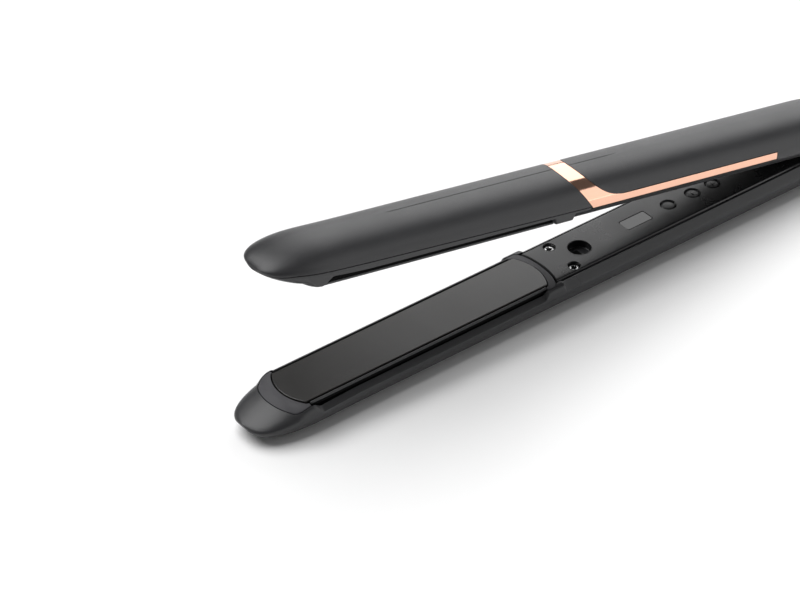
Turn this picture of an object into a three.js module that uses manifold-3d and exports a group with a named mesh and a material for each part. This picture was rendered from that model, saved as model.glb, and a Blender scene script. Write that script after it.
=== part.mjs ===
// A flat iron (hair straightener) with two sprung arms, floating heated plates and a swivel cord inlet.
// Units are millimetres, +Z is up, and the lower arm lies on its flat belly at z = 0.
//
// Each arm is drawn in its own arm frame: the hinge axis is the Y axis, the tip is towards -X,
// and +Z points from the plates' contact plane to the crown of the casing.
// "s" is the distance from the hinge axis towards the tip, so x = -s.
// The upper arm is turned open about the hinge, and the lower arm is turned over about X.

import * as THREE from "three";
import { mergeVertices } from "three/addons/utils/BufferGeometryUtils.js";
import Module from "manifold-3d";

const wasm = await Module();
wasm.setup();

// ---------------------------------------------------------------- driving dimensions

const OPEN_ANGLE = THREE.MathUtils.degToRad(11.3);
const HINGE_X = 124; // the hinge axis stands this far behind the part's origin
const GAP = 0.3; // clearance between neighbouring pieces

// Casing of one arm
const HALF_WIDTH = 13.9;
const WIDEST_Z = 4.2; // height of the widest line above the plates' contact plane
const CROWN_Z = 13.9;
const BELLY_Z = 13.5; // the lower arm's crown is flat from here
const UNDERSIDE_Z = 0.4;
const CROWN_POWER = 2.3; // superellipse power of the crown side
const SQUARE_POWER = 6.5; // underside beside the caps
const CHAMFER_POWER = 1.1; // nearly flat sides along the slots and the handle
const SLOT_LOW_Z = -3.7; // the chamfered sides would meet at these heights, and are cut off above them
const HANDLE_LOW_Z = -11;
const WALL = 1.9;
const REAR_S = -13;
const REAR_ROUND = 16;

// Tip of the casing
const TIP_S = 267.8;
const TIP_TOP_Z = 6.9; // the crown and the underside end at these heights
const TIP_LOW_Z = 6.5;
const TIP_WIDEST_Z = 7.8;
const TIP_DRIFT_S = 225; // the widest line starts to rise here
const TIP_DRIFT_POWER = 1.5;
const TIP_PLAN_S = 234.6; // the plan outline starts to close here
const TIP_PLAN_POWER = 2.9;
const TIP_CROWN_S = 243; // the crown starts to fall here
const TIP_CROWN_POWER = 2;
const TIP_NOSE_S = 253.2; // the underside starts to rise here
const TIP_NOSE_POWER = 1.1;
const TIP_SOFT_S = 246.2; // the underside's square corners round off between these
const TIP_ROUND_S = 253;
const TIP_ROUND_POWER = 1.57;
const TIP_SECTION_POWER = 2.2; // crown side of the section at the tip

// Line between the outer casing and the plate frame
const PARTING_REAR_Z = 5;
const FRAME_REAR_S = 122.8;
const PARTING = [
  [225, 6.5],
  [257, 7.4],
  [TIP_S + 5, 6.7],
];
const JOINT_SLANT = 0.6; // the frame's rear edge runs forward by this much for each millimetre down
const HANDLE_EDGE_Z = 1;
const EDGE_RISE_S = -7.5; // behind this the edge rises, so that the arms clear each other when open
const EDGE_REAR_Z = 2.1; // at 5 behind the rear

// Plate, caps and heater
const PLATE_TIP_S = 247.05; // the straight sides end here
const PLATE_HEEL_S = 137.2;
const PLATE_HALF_WIDTH = 10.15;
const PLATE_Z = 0.15; // the plates stay clear of each other by twice this when shut
const PLATE_THICKNESS = 1.6;
const TIP_SAG = 3.65; // depth of the plate's rounded ends
const HEEL_SAG = 3;
const RAIL_TIP_S = 245.9;
const RAIL_HEEL_S = 138.6;
const RAIL_IN_Y = 10.85;
const RAIL_OUT_Y = 11.55;
const RAIL_LOW_Z = 0.2;
const RAIL_HIGH_Z = 1.15;
const CARRIER_HALF_WIDTH = 11.2;
const CARRIER_LOW_Z = 1;
const CARRIER_HIGH_Z = 2.65;
const CAP_HALF_WIDTH = 12.3;
const CAP_CLEAR = 0.35;
const TIP_CAP_S = 256.65; // outer edge of the tip cap, on the centre line
const TIP_CAP_SAG = 8.3;
const TIP_CAP_END_S = 246.3;
const HEEL_CAP_S = 131.8;
const HEEL_CAP_SAG = 4;
const HEEL_CAP_END_S = 138.3;
const CAP_LOW_Z = 0.4;
const CAP_HIGH_Z = 3.6;
const WINDOW_HALF = 12.6;
const SLOT_TIP_S = 241.5; // cut-down part of the frame's side walls
const SLOT_TIP_RAMP = 4.2;
const SLOT_HEEL_S = 141;
const SLOT_HEEL_RAMP = 2.2;
const SLOT_Z = 2.7;
const SLOT_Y = 11.65;
const HEEL_STEP_S = 131.2; // the frame's walls drop to the handle's edge behind this
const HEEL_STEP_RAMP = 1;

// Rose-gold band on the upper arm
const BAND_FRONT_S = 130.3; // on the crown
const BAND_REAR_S = 122.9;
const BAND_SLANT = 0.83; // the front edge runs back by this much for each millimetre down
const BAND_SWEEP = 17.9; // the rear edge flows down into the strip's top over this length
const BAND_SWEEP_POWER = 2.5;
const STRIP_TOP_Z = 7.1;
const STRIP_LOW_Z = 4.5;
const STRIP_END_S = 30;
const BAND_THICKNESS = 1;

// Hinge
const KNUCKLE_R = 6.6;
const EAR_IN_Y = 8.6;
const EAR_OUT_Y = 12.6;
const KNUCKLE_Y = 8.2;
const SPRING_BAY_Y = 4.2;
const CAP_R = 4.6;
const PIN_R = 2;
const PIN_HALF_LENGTH = 12.3;

// Handle cover, controls and cord inlet
const COVER_HALF_WIDTH = 10.4;
const COVER_GAP = 0.8;
const COVER_Z = 0.2;
const COVER_SIDE_Z = 0.35;
const COVER_THICKNESS = 2.2;
const COVER_POST_Z = 1.5; // posts and cups start inside the cover's thickness
const COVER_REAR_S = 11;
const COVER_FRONT_S = 130.9;
const SCREW_S = 122;
const SCREW_Y = 7.2;
const SCREW_R = 1.2;
const SCREW_RECESS_R = 2.4;
const SCREW_HEAD_Z = 1.2;
const SCREW_SEAT_Z = 1.9;
const BOSS_R = 2.8;
const BOSS_Z = 6.3;
const POCKET_S = 113.5;
const POCKET_R = 4.5;
const POCKET_Z = 3.2;
const BUTTON_R = 2.9;
const BUTTON_Z = 0.45;
const POWER_S = 70;
const MINUS_S = 58;
const PLUS_S = 48;
const LENS_S = 86;
const LENS_HALF_LENGTH = 6;
const LENS_HALF_WIDTH = 3;
const SWIVEL_Z = 7;
const SWIVEL_R = 3.6;
const INLET_R = 2.95;
const COLLAR_R = 5.4;
const CLIP_R = 4.1;

// Cuts that run through an arm reach from below its hinge to above its crown
const CUT_LOW_Z = -12;
const CUT_HIGH_Z = 30;

// ---------------------------------------------------------------- materials

function finish(color, roughness, metalness) {
  return { color, roughness, metalness };
}

const CHARCOAL = finish(0x3a3a3c, 0.62, 0);
const GLOSS_BLACK = finish(0x1a1a1b, 0.22, 0);
const CERAMIC_PLATE = finish(0x4a4a49, 0.14, 0.6);
const CAP_GREY = finish(0x55545a, 0.6, 0);
const ROSE_GOLD = finish(0xe9b49c, 0.12, 1);
const STEEL = finish(0xb9babc, 0.3, 1);
const HEATER_WHITE = finish(0xd8d4c8, 0.7, 0);
const BOARD_GREEN = finish(0x1f5a3a, 0.5, 0);
const LENS_DARK = finish(0x101214, 0.08, 0);

// ---------------------------------------------------------------- solids

function solid(geometry) {
  const plain = geometry.index ? geometry.toNonIndexed() : geometry.clone();
  plain.deleteAttribute("normal");
  plain.deleteAttribute("uv");
  const merged = mergeVertices(plain, 1e-4);
  return new wasm.Manifold(
    new wasm.Mesh({
      numProp: 3,
      vertProperties: merged.attributes.position.array,
      triVerts: new Uint32Array(merged.index.array),
    }),
  );
}

function piece(name, made, look) {
  const mesh = made.getMesh();
  const geometry = new THREE.BufferGeometry();
  geometry.setAttribute("position", new THREE.BufferAttribute(mesh.vertProperties, 3));
  geometry.setIndex(new THREE.BufferAttribute(mesh.triVerts, 1));
  geometry.computeVertexNormals();
  const result = new THREE.Mesh(geometry, new THREE.MeshStandardMaterial(look));
  result.name = name;
  return result;
}

function box(lowX, highX, lowY, highY, lowZ, highZ) {
  const geometry = new THREE.BoxGeometry(highX - lowX, highY - lowY, highZ - lowZ);
  geometry.translate((lowX + highX) / 2, (lowY + highY) / 2, (lowZ + highZ) / 2);
  return solid(geometry);
}

// A box between two distances from the hinge
function block(lowS, highS, halfY, lowZ, highZ) {
  return box(-highS, -lowS, -halfY, halfY, lowZ, highZ);
}

function cylinderY(radius, lowY, highY, x = 0, z = 0, sides = 24) {
  const geometry = new THREE.CylinderGeometry(radius, radius, highY - lowY, sides);
  geometry.translate(x, (lowY + highY) / 2, z);
  return solid(geometry);
}

function cylinderZ(radius, lowZ, highZ, s, y, sides = 20, topRadius = radius) {
  const geometry = new THREE.CylinderGeometry(topRadius, radius, highZ - lowZ, sides);
  geometry.rotateX(Math.PI / 2);
  geometry.translate(-s, y, (lowZ + highZ) / 2);
  return solid(geometry);
}

function cylinderX(radius, lowS, highS, z, sides = 24) {
  const geometry = new THREE.CylinderGeometry(radius, radius, highS - lowS, sides);
  geometry.rotateZ(Math.PI / 2);
  geometry.translate(-(lowS + highS) / 2, 0, z);
  return solid(geometry);
}

// A plan outline of [s, y] points, raised from lowZ to highZ
function slab(points, lowZ, highZ) {
  const shape = new THREE.Shape(points.map(([s, y]) => new THREE.Vector2(-s, y)));
  const geometry = new THREE.ExtrudeGeometry(shape, { depth: highZ - lowZ, bevelEnabled: false });
  geometry.translate(0, 0, lowZ);
  return solid(geometry);
}

// A side outline of [s, z] points, as wide as the arm and a little more
function sideCut(points, halfY = HALF_WIDTH + 2) {
  const shape = new THREE.Shape(points.map(([s, z]) => new THREE.Vector2(-s, z)));
  const geometry = new THREE.ExtrudeGeometry(shape, { depth: 2 * halfY, bevelEnabled: false });
  geometry.rotateX(Math.PI / 2);
  geometry.translate(0, halfY, 0);
  return solid(geometry);
}

// ---------------------------------------------------------------- the arm's envelope

const lerp = THREE.MathUtils.lerp;
const clamp = THREE.MathUtils.clamp;

// 1 before the start, falling to 0 at the end along a superellipse
function closing(s, start, end, power) {
  const way = clamp((s - start) / (end - start), 0, 1);
  return Math.pow(Math.max(1 - Math.pow(way, power), 0), 1 / power);
}

function signedPower(value, power) {
  return Math.sign(value) * Math.pow(Math.abs(value), power);
}

// 0 before the start and 1 after the end, with no corners between
function eased(s, start, end) {
  return THREE.MathUtils.smoothstep(s, start, end);
}

function slotShare(s) {
  const front = 1 - eased(s, SLOT_TIP_S, SLOT_TIP_S + SLOT_TIP_RAMP);
  return eased(s, SLOT_HEEL_S - SLOT_HEEL_RAMP, SLOT_HEEL_S) * front;
}

function handleShare(s) {
  return 1 - eased(s, HEEL_STEP_S - HEEL_STEP_RAMP / 2, HEEL_STEP_S + HEEL_STEP_RAMP / 2);
}

// Half-width, underside, widest line, crown and section powers of the casing at a distance from the hinge
function station(s) {
  const rear = closing(-s, -(REAR_S + REAR_ROUND), -REAR_S, 2.2);
  const plan = closing(s, TIP_PLAN_S, TIP_S, TIP_PLAN_POWER) * lerp(0.62, 1, rear);
  const crownFall = closing(s, TIP_CROWN_S, TIP_S, TIP_CROWN_POWER) * lerp(0.55, 1, rear);
  const noseRise = closing(s, TIP_NOSE_S, TIP_S, TIP_NOSE_POWER) * lerp(0.7, 1, rear);
  const topEnd = s > TIP_PLAN_S ? TIP_TOP_Z : SWIVEL_Z;
  const lowEnd = s > TIP_PLAN_S ? TIP_LOW_Z : SWIVEL_Z;
  const underside = lerp(lerp(UNDERSIDE_Z, SLOT_LOW_Z, slotShare(s)), HANDLE_LOW_Z, handleShare(s));
  const top = topEnd + (CROWN_Z - topEnd) * crownFall;
  const low = lowEnd - (lowEnd - underside) * noseRise;
  const drift = Math.pow(clamp((s - TIP_DRIFT_S) / (TIP_S - TIP_DRIFT_S), 0, 1), TIP_DRIFT_POWER);
  const widest = clamp(lerp(WIDEST_Z, TIP_WIDEST_Z, drift), low, top);
  const square = lerp(SQUARE_POWER, TIP_ROUND_POWER, eased(s, TIP_SOFT_S, TIP_ROUND_S));
  const under = lerp(square, CHAMFER_POWER, Math.max(slotShare(s), handleShare(s)));
  const crown = lerp(CROWN_POWER, TIP_SECTION_POWER, drift);
  return { half: HALF_WIDTH * plan, low, widest, top, under, crown };
}

// The casing's outline as a loft round the arm, drawn in by an inset
function envelope(inset, sides, stations, endS = TIP_S, startS = REAR_S) {
  const geometry = new THREE.CylinderGeometry(1, 1, 1, sides, stations.length - 1);
  const points = geometry.attributes.position;
  for (let i = 0; i < points.count; i++) {
    const along = Math.round((points.getY(i) + 0.5) * (stations.length - 1));
    const reach = Math.hypot(points.getX(i), points.getZ(i));
    const turn = Math.atan2(points.getZ(i), points.getX(i));
    const s = clamp(stations[along], startS + inset, endS - inset * 1.4);
    const at = station(s);
    const crown = Math.sin(turn) > 0;
    const power = 2 / (crown ? at.crown : at.under);
    const span = crown ? at.top - at.widest : at.widest - at.low;
    const y = Math.max(at.half - inset, 0.4) * signedPower(Math.cos(turn), power);
    const z = at.widest + Math.max(span - inset, 0.3) * signedPower(Math.sin(turn), power);
    points.setXYZ(i, -s, reach * y, at.widest + reach * (z - at.widest));
  }
  return solid(geometry);
}

// Distances along the arm, close together where the casing closes in
function outerStations() {
  const list = [REAR_S, REAR_S + 0.4, REAR_S + 1.6, REAR_S + 4, REAR_S + 8, REAR_S + REAR_ROUND];
  list.push(60, 125, HEEL_STEP_S - HEEL_STEP_RAMP / 2, HEEL_STEP_S + HEEL_STEP_RAMP / 2);
  list.push(SLOT_HEEL_S - SLOT_HEEL_RAMP, SLOT_HEEL_S - SLOT_HEEL_RAMP / 2, SLOT_HEEL_S, 190);
  list.push(TIP_DRIFT_S, TIP_PLAN_S, 238, SLOT_TIP_S, 243.6, SLOT_TIP_S + SLOT_TIP_RAMP);
  const steps = 12;
  const start = TIP_SOFT_S;
  for (let i = 0; i < steps; i++) {
    list.push(start + (TIP_S - start) * Math.sin(((i + 0.5) / steps) * (Math.PI / 2)));
  }
  list.push(TIP_S - 0.02);
  return list;
}

const INNER_STATIONS = [REAR_S, -8, 3, 120, 238, 250, 260, TIP_S];

function casing() {
  return envelope(0, 28, outerStations());
}

function hollow() {
  return envelope(WALL, 16, INNER_STATIONS);
}

// The line between the outer casing and the plate frame, from the handle to past the tip
function partingLine(shift) {
  const line = [[FRAME_REAR_S, PARTING_REAR_Z], ...PARTING];
  return line.map(([s, z]) => [s, z + shift]);
}

// Rear edge of the plate frame at a height above the plates
function jointS(z) {
  return FRAME_REAR_S + JOINT_SLANT * (PARTING_REAR_Z - z);
}

// Side view of the outer casing: down to the handle's edge behind, and to the parting line in front
function casingSide() {
  return sideCut([
    [REAR_S - 5, EDGE_REAR_Z],
    [EDGE_RISE_S, HANDLE_EDGE_Z],
    [jointS(HANDLE_EDGE_Z), HANDLE_EDGE_Z],
    ...partingLine(GAP / 2),
    [TIP_S + 5, CROWN_Z + 5],
    [REAR_S - 5, CROWN_Z + 5],
  ]);
}

function frameSide() {
  const front = partingLine(-GAP / 2).slice(1);
  const corner = [FRAME_REAR_S + GAP, PARTING_REAR_Z - GAP / 2];
  return sideCut([corner, ...front, [TIP_S + 5, -3], [jointS(-3) + GAP, -3]]);
}

// ---------------------------------------------------------------- casing pieces

// One full casing, open on the inner side
function outerShell() {
  const half = COVER_HALF_WIDTH + COVER_GAP;
  const opening = block(-8.5, FRAME_REAR_S + 12, half, -3, BOSS_Z - 0.2);
  return casing().subtract(hollow()).intersect(casingSide()).subtract(opening);
}

// Adds the two bosses under the crown that the cover's screws bite into
function withBosses(shell) {
  let result = shell;
  for (const y of [-SCREW_Y, SCREW_Y]) {
    const boss = cylinderZ(BOSS_R, BOSS_Z, CROWN_Z, SCREW_S, y);
    const pilot = cylinderZ(SCREW_R + GAP, BOSS_Z - 1, BOSS_Z + 3.5, SCREW_S, y, 12);
    result = result.add(boss.intersect(envelope(WALL - 0.3, 16, INNER_STATIONS))).subtract(pilot);
  }
  return result;
}

function ear(side) {
  const y = [side * EAR_IN_Y, side * EAR_OUT_Y].sort((a, b) => a - b);
  const round = cylinderY(KNUCKLE_R, y[0], y[1]);
  const foot = box(-KNUCKLE_R, KNUCKLE_R, y[0], y[1], 0, 8.6);
  const bore = cylinderY(PIN_R + GAP, y[0] - 1, y[1] + 1);
  return round.add(foot).subtract(bore);
}

function lowerShell() {
  const mouth = cylinderX(SWIVEL_R + GAP, REAR_S - 6, REAR_S + 6, SWIVEL_Z);
  const belly = block(REAR_S - 5, TIP_S + 5, 30, BELLY_Z, BELLY_Z + 5);
  let shell = withBosses(outerShell()).subtract(mouth).subtract(belly);
  for (const side of [-1, 1]) {
    const seat = cylinderBeyond(CAP_R + GAP, side, EAR_OUT_Y);
    shell = shell.add(ear(side)).subtract(seat);
  }
  return shell.subtract(cylinderY(PIN_R + GAP, -EAR_OUT_Y - GAP, EAR_OUT_Y + GAP));
}

// A cylinder round the hinge axis, from a distance to one side outwards
function cylinderBeyond(radius, side, y) {
  const outer = HALF_WIDTH + 3;
  return side > 0 ? cylinderY(radius, y, outer) : cylinderY(radius, -outer, -y);
}

function knuckle() {
  const round = cylinderY(KNUCKLE_R, -KNUCKLE_Y, KNUCKLE_Y);
  const web = box(-KNUCKLE_R + 1, KNUCKLE_R - 1, -KNUCKLE_Y, KNUCKLE_Y, 0, CROWN_Z - 1.5);
  const bay = box(-KNUCKLE_R - 1, KNUCKLE_R + 1, -SPRING_BAY_Y, SPRING_BAY_Y, -KNUCKLE_R - 1, 8.4);
  const bore = cylinderY(PIN_R + GAP, -KNUCKLE_Y - 1, KNUCKLE_Y + 1);
  return round.add(web).subtract(bay).subtract(bore);
}

// Front edge of the band at a height above the plates
function bandFrontS(z) {
  return BAND_FRONT_S - BAND_SLANT * (CROWN_Z - z);
}

function aheadOfBand() {
  const top = CROWN_Z + 5;
  const low = [bandFrontS(-5) + GAP / 2, -5];
  return sideCut([low, [bandFrontS(top) + GAP / 2, top], [TIP_S + 9, top], [TIP_S + 9, -5]]);
}

// Rear part of the upper casing, running on under the band to its front edge
function behindBandFront() {
  const top = CROWN_Z + 5;
  return sideCut([
    [REAR_S - 9, -5],
    [jointS(-5), -5],
    [FRAME_REAR_S - GAP / 2, PARTING_REAR_Z],
    [bandFrontS(top) - GAP / 2, top],
    [REAR_S - 9, top],
  ]);
}

// The space of the band: a saddle over the crown, and a strip back along each side
function bandZone(clear) {
  const top = CROWN_Z + 5;
  const corner = PARTING_REAR_Z + GAP - clear;
  const points = [
    [STRIP_END_S - clear, STRIP_TOP_Z + clear],
    [STRIP_END_S - clear, STRIP_LOW_Z - clear],
    [FRAME_REAR_S, STRIP_LOW_Z - clear],
    [FRAME_REAR_S, corner],
    [bandFrontS(corner) + clear, corner],
    [bandFrontS(top) + clear, top],
    [BAND_REAR_S - clear, top],
  ];
  const steps = 8;
  for (let i = steps; i >= 0; i--) {
    const way = i / steps;
    const z = lerp(STRIP_TOP_Z, CROWN_Z, Math.pow(way, BAND_SWEEP_POWER));
    points.push([BAND_REAR_S - BAND_SWEEP * (1 - way) - clear, z + clear * (1 - way)]);
  }
  return sideCut(points);
}

function upperFrontShell() {
  return outerShell()
    .intersect(aheadOfBand())
    .subtract(block(REAR_S - 5, jointS(-5), 30, -5, PARTING_REAR_Z + GAP));
}

function roseGoldBand() {
  return casing().subtract(envelope(BAND_THICKNESS, 28, outerStations())).intersect(bandZone(0));
}

function upperRearShell() {
  const bed = bandZone(GAP).subtract(envelope(BAND_THICKNESS + GAP, 28, outerStations()));
  return withBosses(outerShell())
    .intersect(behindBandFront())
    .add(knuckle())
    .subtract(bed)
    .subtract(cylinderBeyond(KNUCKLE_R + 1, 1, EAR_IN_Y - GAP))
    .subtract(cylinderBeyond(KNUCKLE_R + 1, -1, EAR_IN_Y - GAP));
}

// Points of an arc bowed outwards by sag, from one side to the other
function bow(s, half, sag, direction, steps = 12) {
  const radius = (half * half + sag * sag) / (2 * sag);
  const points = [];
  for (let i = 0; i <= steps; i++) {
    const y = lerp(-half, half, i / steps);
    points.push([s + direction * (Math.sqrt(radius * radius - y * y) - (radius - sag)), y]);
  }
  return points;
}

// A plan outline with two bowed ends
function lozenge(heelS, heelSag, tipS, tipSag, half) {
  return [...bow(tipS, half, tipSag, 1), ...bow(heelS, half, heelSag, -1).reverse()];
}

// Points of half an ellipse with its apex on the centre line, from one side to the other
function halfEllipse(apexS, half, sag, direction, steps = 16) {
  const points = [];
  for (let i = 0; i <= steps; i++) {
    const turn = lerp(-Math.PI / 2, Math.PI / 2, i / steps);
    points.push([apexS + direction * sag * (Math.cos(turn) - 1), half * Math.sin(turn)]);
  }
  return points;
}

function plateWindow() {
  const tip = halfEllipse(TIP_CAP_S + CAP_CLEAR, WINDOW_HALF, TIP_CAP_SAG, 1);
  const heel = halfEllipse(HEEL_CAP_S - CAP_CLEAR, WINDOW_HALF, HEEL_CAP_SAG, -1);
  const outline = slab([...tip, ...heel.reverse()], CUT_LOW_Z, CUT_HIGH_Z);
  const middle = block(SLOT_HEEL_S - 2, TIP_CAP_END_S - 1, SLOT_Y, CUT_LOW_Z, CUT_HIGH_Z);
  const beside = block(SLOT_HEEL_S - 2, TIP_CAP_END_S - 1, HALF_WIDTH + 2, SLOT_Z, CUT_HIGH_Z);
  return outline.subtract(beside).add(middle);
}

// Plan area behind the arc that the handle cover's front edge follows
function behindHeel(clear) {
  const half = COVER_HALF_WIDTH + clear;
  const steps = 12;
  const points = [];
  for (let i = 0; i <= steps; i++) {
    const y = lerp(-half, half, i / steps);
    const sag = HEEL_CAP_SAG * (1 - Math.sqrt(1 - (y / WINDOW_HALF) ** 2));
    points.push([COVER_FRONT_S + clear + sag, y]);
  }
  return slab([...points, [-20, half], [-20, -half]], CUT_LOW_Z, CUT_HIGH_Z);
}

// Side view of what is cut away below the frame's walls, with a ramp at each end of the slots
function belowWalls() {
  return sideCut([
    [0, CUT_LOW_Z],
    [0, HANDLE_EDGE_Z],
    [HEEL_STEP_S - HEEL_STEP_RAMP / 2, HANDLE_EDGE_Z],
    [HEEL_STEP_S + HEEL_STEP_RAMP / 2, UNDERSIDE_Z],
    [SLOT_HEEL_S - SLOT_HEEL_RAMP, UNDERSIDE_Z],
    [SLOT_HEEL_S, SLOT_Z],
    [SLOT_TIP_S, SLOT_Z],
    [SLOT_TIP_S + SLOT_TIP_RAMP, UNDERSIDE_Z],
    [TIP_S + 5, UNDERSIDE_Z],
    [TIP_S + 5, CUT_LOW_Z],
  ]);
}

function plateFrame() {
  return casing()
    .intersect(frameSide())
    .subtract(hollow().intersect(block(0, 250, 30, 4.4, 30)))
    .subtract(plateWindow())
    .subtract(belowWalls())
    .subtract(behindHeel(COVER_GAP));
}

// Crowned strip between the arm's side walls, flat on its back, with a bowed front edge
function coverBlank() {
  const section = new THREE.Shape();
  section.moveTo(-COVER_HALF_WIDTH, COVER_SIDE_Z + COVER_THICKNESS);
  section.lineTo(-COVER_HALF_WIDTH, COVER_SIDE_Z);
  const steps = 8;
  for (let i = 1; i <= steps; i++) {
    const y = lerp(-COVER_HALF_WIDTH, COVER_HALF_WIDTH, i / steps);
    const way = y / COVER_HALF_WIDTH;
    section.lineTo(y, lerp(COVER_Z, COVER_SIDE_Z, way ** 4));
  }
  section.lineTo(COVER_HALF_WIDTH, COVER_SIDE_Z + COVER_THICKNESS);
  const geometry = new THREE.ExtrudeGeometry(section, {
    depth: COVER_FRONT_S + HEEL_CAP_SAG - COVER_REAR_S,
    bevelEnabled: false,
  });
  geometry.rotateX(Math.PI / 2);
  geometry.rotateZ(-Math.PI / 2);
  geometry.translate(-COVER_REAR_S, 0, 0);
  return solid(geometry);
}

function innerCover() {
  let cover = coverBlank().intersect(behindHeel(0));
  for (const y of [-SCREW_Y, SCREW_Y]) {
    const post = cylinderZ(SCREW_RECESS_R + 1, COVER_POST_Z, BOSS_Z - GAP, SCREW_S, y);
    const recess = cylinderZ(SCREW_RECESS_R, -2, SCREW_SEAT_Z, SCREW_S, y);
    const shank = cylinderZ(SCREW_R + GAP, 1, 9, SCREW_S, y, 12);
    cover = cover.add(post).subtract(recess).subtract(shank);
  }
  return cover;
}

function lowerInnerCover() {
  const cup = cylinderZ(POCKET_R + 1, COVER_POST_Z, 6.4, POCKET_S, 0);
  const dish = cylinderZ(POCKET_R, -2, POCKET_Z, POCKET_S, 0);
  const slot = block(POCKET_S - 0.8, POCKET_S + 3.4, 2.4, 0, 5.6);
  let cover = innerCover().add(cup).subtract(dish).subtract(slot);
  for (const s of [POWER_S, MINUS_S, PLUS_S]) {
    cover = cover.subtract(cylinderZ(BUTTON_R + GAP, -2, 9, s, 0));
  }
  const halfLength = LENS_HALF_LENGTH + GAP;
  return cover.subtract(block(LENS_S - halfLength, LENS_S + halfLength, LENS_HALF_WIDTH + GAP, -2, 9));
}

function upperInnerCover() {
  return innerCover().subtract(block(POCKET_S - 3.1, POCKET_S + 3.1, 1.2, -2, 9));
}

function alignmentTongue() {
  const blade = sideCut(
    [
      [POCKET_S - 2.8, 4.6],
      [POCKET_S - 2.8, -1.2],
      [POCKET_S - 1.6, -2.4],
      [POCKET_S + 1.6, -2.4],
      [POCKET_S + 2.8, -1.2],
      [POCKET_S + 2.8, 4.6],
    ],
    0.9,
  );
  return blade.add(block(POCKET_S - 5, POCKET_S + 5, 3, COVER_SIDE_Z + COVER_THICKNESS + GAP, 5.6));
}

function coverScrew(y) {
  const low = SCREW_HEAD_Z;
  const head = cylinderZ(SCREW_RECESS_R - GAP, low, SCREW_SEAT_Z - GAP, SCREW_S, y, 20);
  const shank = cylinderZ(SCREW_R, low, 8.6, SCREW_S, y, 12);
  const star = cylinderZ(0.9, low - 1, low + 0.2, SCREW_S, y, 6);
  return head.subtract(star).add(shank.subtract(cylinderZ(2, low - 1, low + 0.3, SCREW_S, y, 6)));
}

// ---------------------------------------------------------------- plate module

function heatedPlate() {
  const outline = lozenge(PLATE_HEEL_S, HEEL_SAG, PLATE_TIP_S, TIP_SAG, PLATE_HALF_WIDTH);
  const face = slab(outline, PLATE_Z, PLATE_Z + PLATE_THICKNESS);
  const carrier = block(RAIL_HEEL_S, RAIL_TIP_S, CARRIER_HALF_WIDTH, CARRIER_LOW_Z, CARRIER_HIGH_Z);
  let plate = face.add(carrier);
  for (const side of [-1, 1]) {
    const y = [side * RAIL_IN_Y, side * RAIL_OUT_Y].sort((a, b) => a - b);
    plate = plate.add(box(-RAIL_TIP_S, -RAIL_HEEL_S, y[0], y[1], RAIL_LOW_Z, RAIL_HIGH_Z));
  }
  return plate;
}

// Crescent between the plate's rounded end and the frame, with horns that reach back to endS
function crescent(outer, plateS, plateSag, direction, endS) {
  const half = PLATE_HALF_WIDTH + CAP_CLEAR;
  const inner = bow(plateS + direction * CAP_CLEAR, half, plateSag, direction);
  const outline = [
    ...outer,
    [endS, CAP_HALF_WIDTH],
    [endS, half],
    ...inner.reverse(),
    [endS, -half],
    [endS, -CAP_HALF_WIDTH],
  ];
  return slab(outline, CAP_LOW_Z, CAP_HIGH_Z).intersect(envelope(0.15, 28, outerStations()));
}

function tipCap() {
  const outer = halfEllipse(TIP_CAP_S, CAP_HALF_WIDTH, TIP_CAP_SAG, 1);
  return crescent(outer, PLATE_TIP_S, TIP_SAG, 1, TIP_CAP_END_S);
}

function heelCap() {
  const outer = halfEllipse(HEEL_CAP_S, CAP_HALF_WIDTH, HEEL_CAP_SAG, -1);
  return crescent(outer, PLATE_HEEL_S, HEEL_SAG, -1, HEEL_CAP_END_S);
}

function heater() {
  return block(147, 237, 8, 2.95, 4.9);
}

function heaterClamp() {
  const tray = block(143, 241, 9.4, 3, 6.2);
  return tray.subtract(block(146.6, 237.4, 8.3, 2, 5.2)).subtract(block(200, 208, 3, 4, 9));
}

function thermalFuse() {
  return block(201, 207, 2.4, 5.25, 7.6);
}

// A helical coil of round wire, standing on z
function coil(radius, wire, length, turns, sides = 5) {
  class Helix extends THREE.Curve {
    getPoint(t, target = new THREE.Vector3()) {
      const angle = 2 * Math.PI * turns * t;
      return target.set(radius * Math.cos(angle), radius * Math.sin(angle), length * t);
    }
  }
  const section = new THREE.Shape();
  for (let i = 0; i < sides; i++) {
    const angle = (2 * Math.PI * i) / sides;
    const x = wire * Math.cos(angle);
    const y = wire * Math.sin(angle);
    if (i) section.lineTo(x, y);
    else section.moveTo(x, y);
  }
  return new THREE.ExtrudeGeometry(section, {
    steps: Math.round(turns * 10),
    extrudePath: new Helix(),
    bevelEnabled: false,
  });
}

function floatSpring(s) {
  const geometry = coil(2.6, 0.3, 4.2, 3.5);
  geometry.translate(-s, 0, 6.85);
  return solid(geometry);
}

// ---------------------------------------------------------------- hinge, controls and inlet

function hingePin() {
  return cylinderY(PIN_R, -PIN_HALF_LENGTH, PIN_HALF_LENGTH);
}

function hingeCap(side) {
  const y = [side * (EAR_OUT_Y + GAP), side * HALF_WIDTH].sort((a, b) => a - b);
  return cylinderY(CAP_R, y[0], y[1]);
}

function torsionSpring() {
  const geometry = coil(3.3, 0.45, 6, 5, 6);
  geometry.rotateX(Math.PI / 2);
  geometry.translate(0, 3, 0);
  return solid(geometry);
}

function button() {
  const crown = cylinderZ(BUTTON_R, BUTTON_Z, 4.4, 0, 0);
  return crown.add(cylinderZ(BUTTON_R + 0.7, 4.2, 4.9, 0, 0));
}

function displayLens() {
  return block(LENS_S - LENS_HALF_LENGTH, LENS_S + LENS_HALF_LENGTH, LENS_HALF_WIDTH, COVER_Z + 0.2, 4.6);
}

function controlBoard() {
  return block(34, 104, 9.4, 6.8, 8.2);
}

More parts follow.
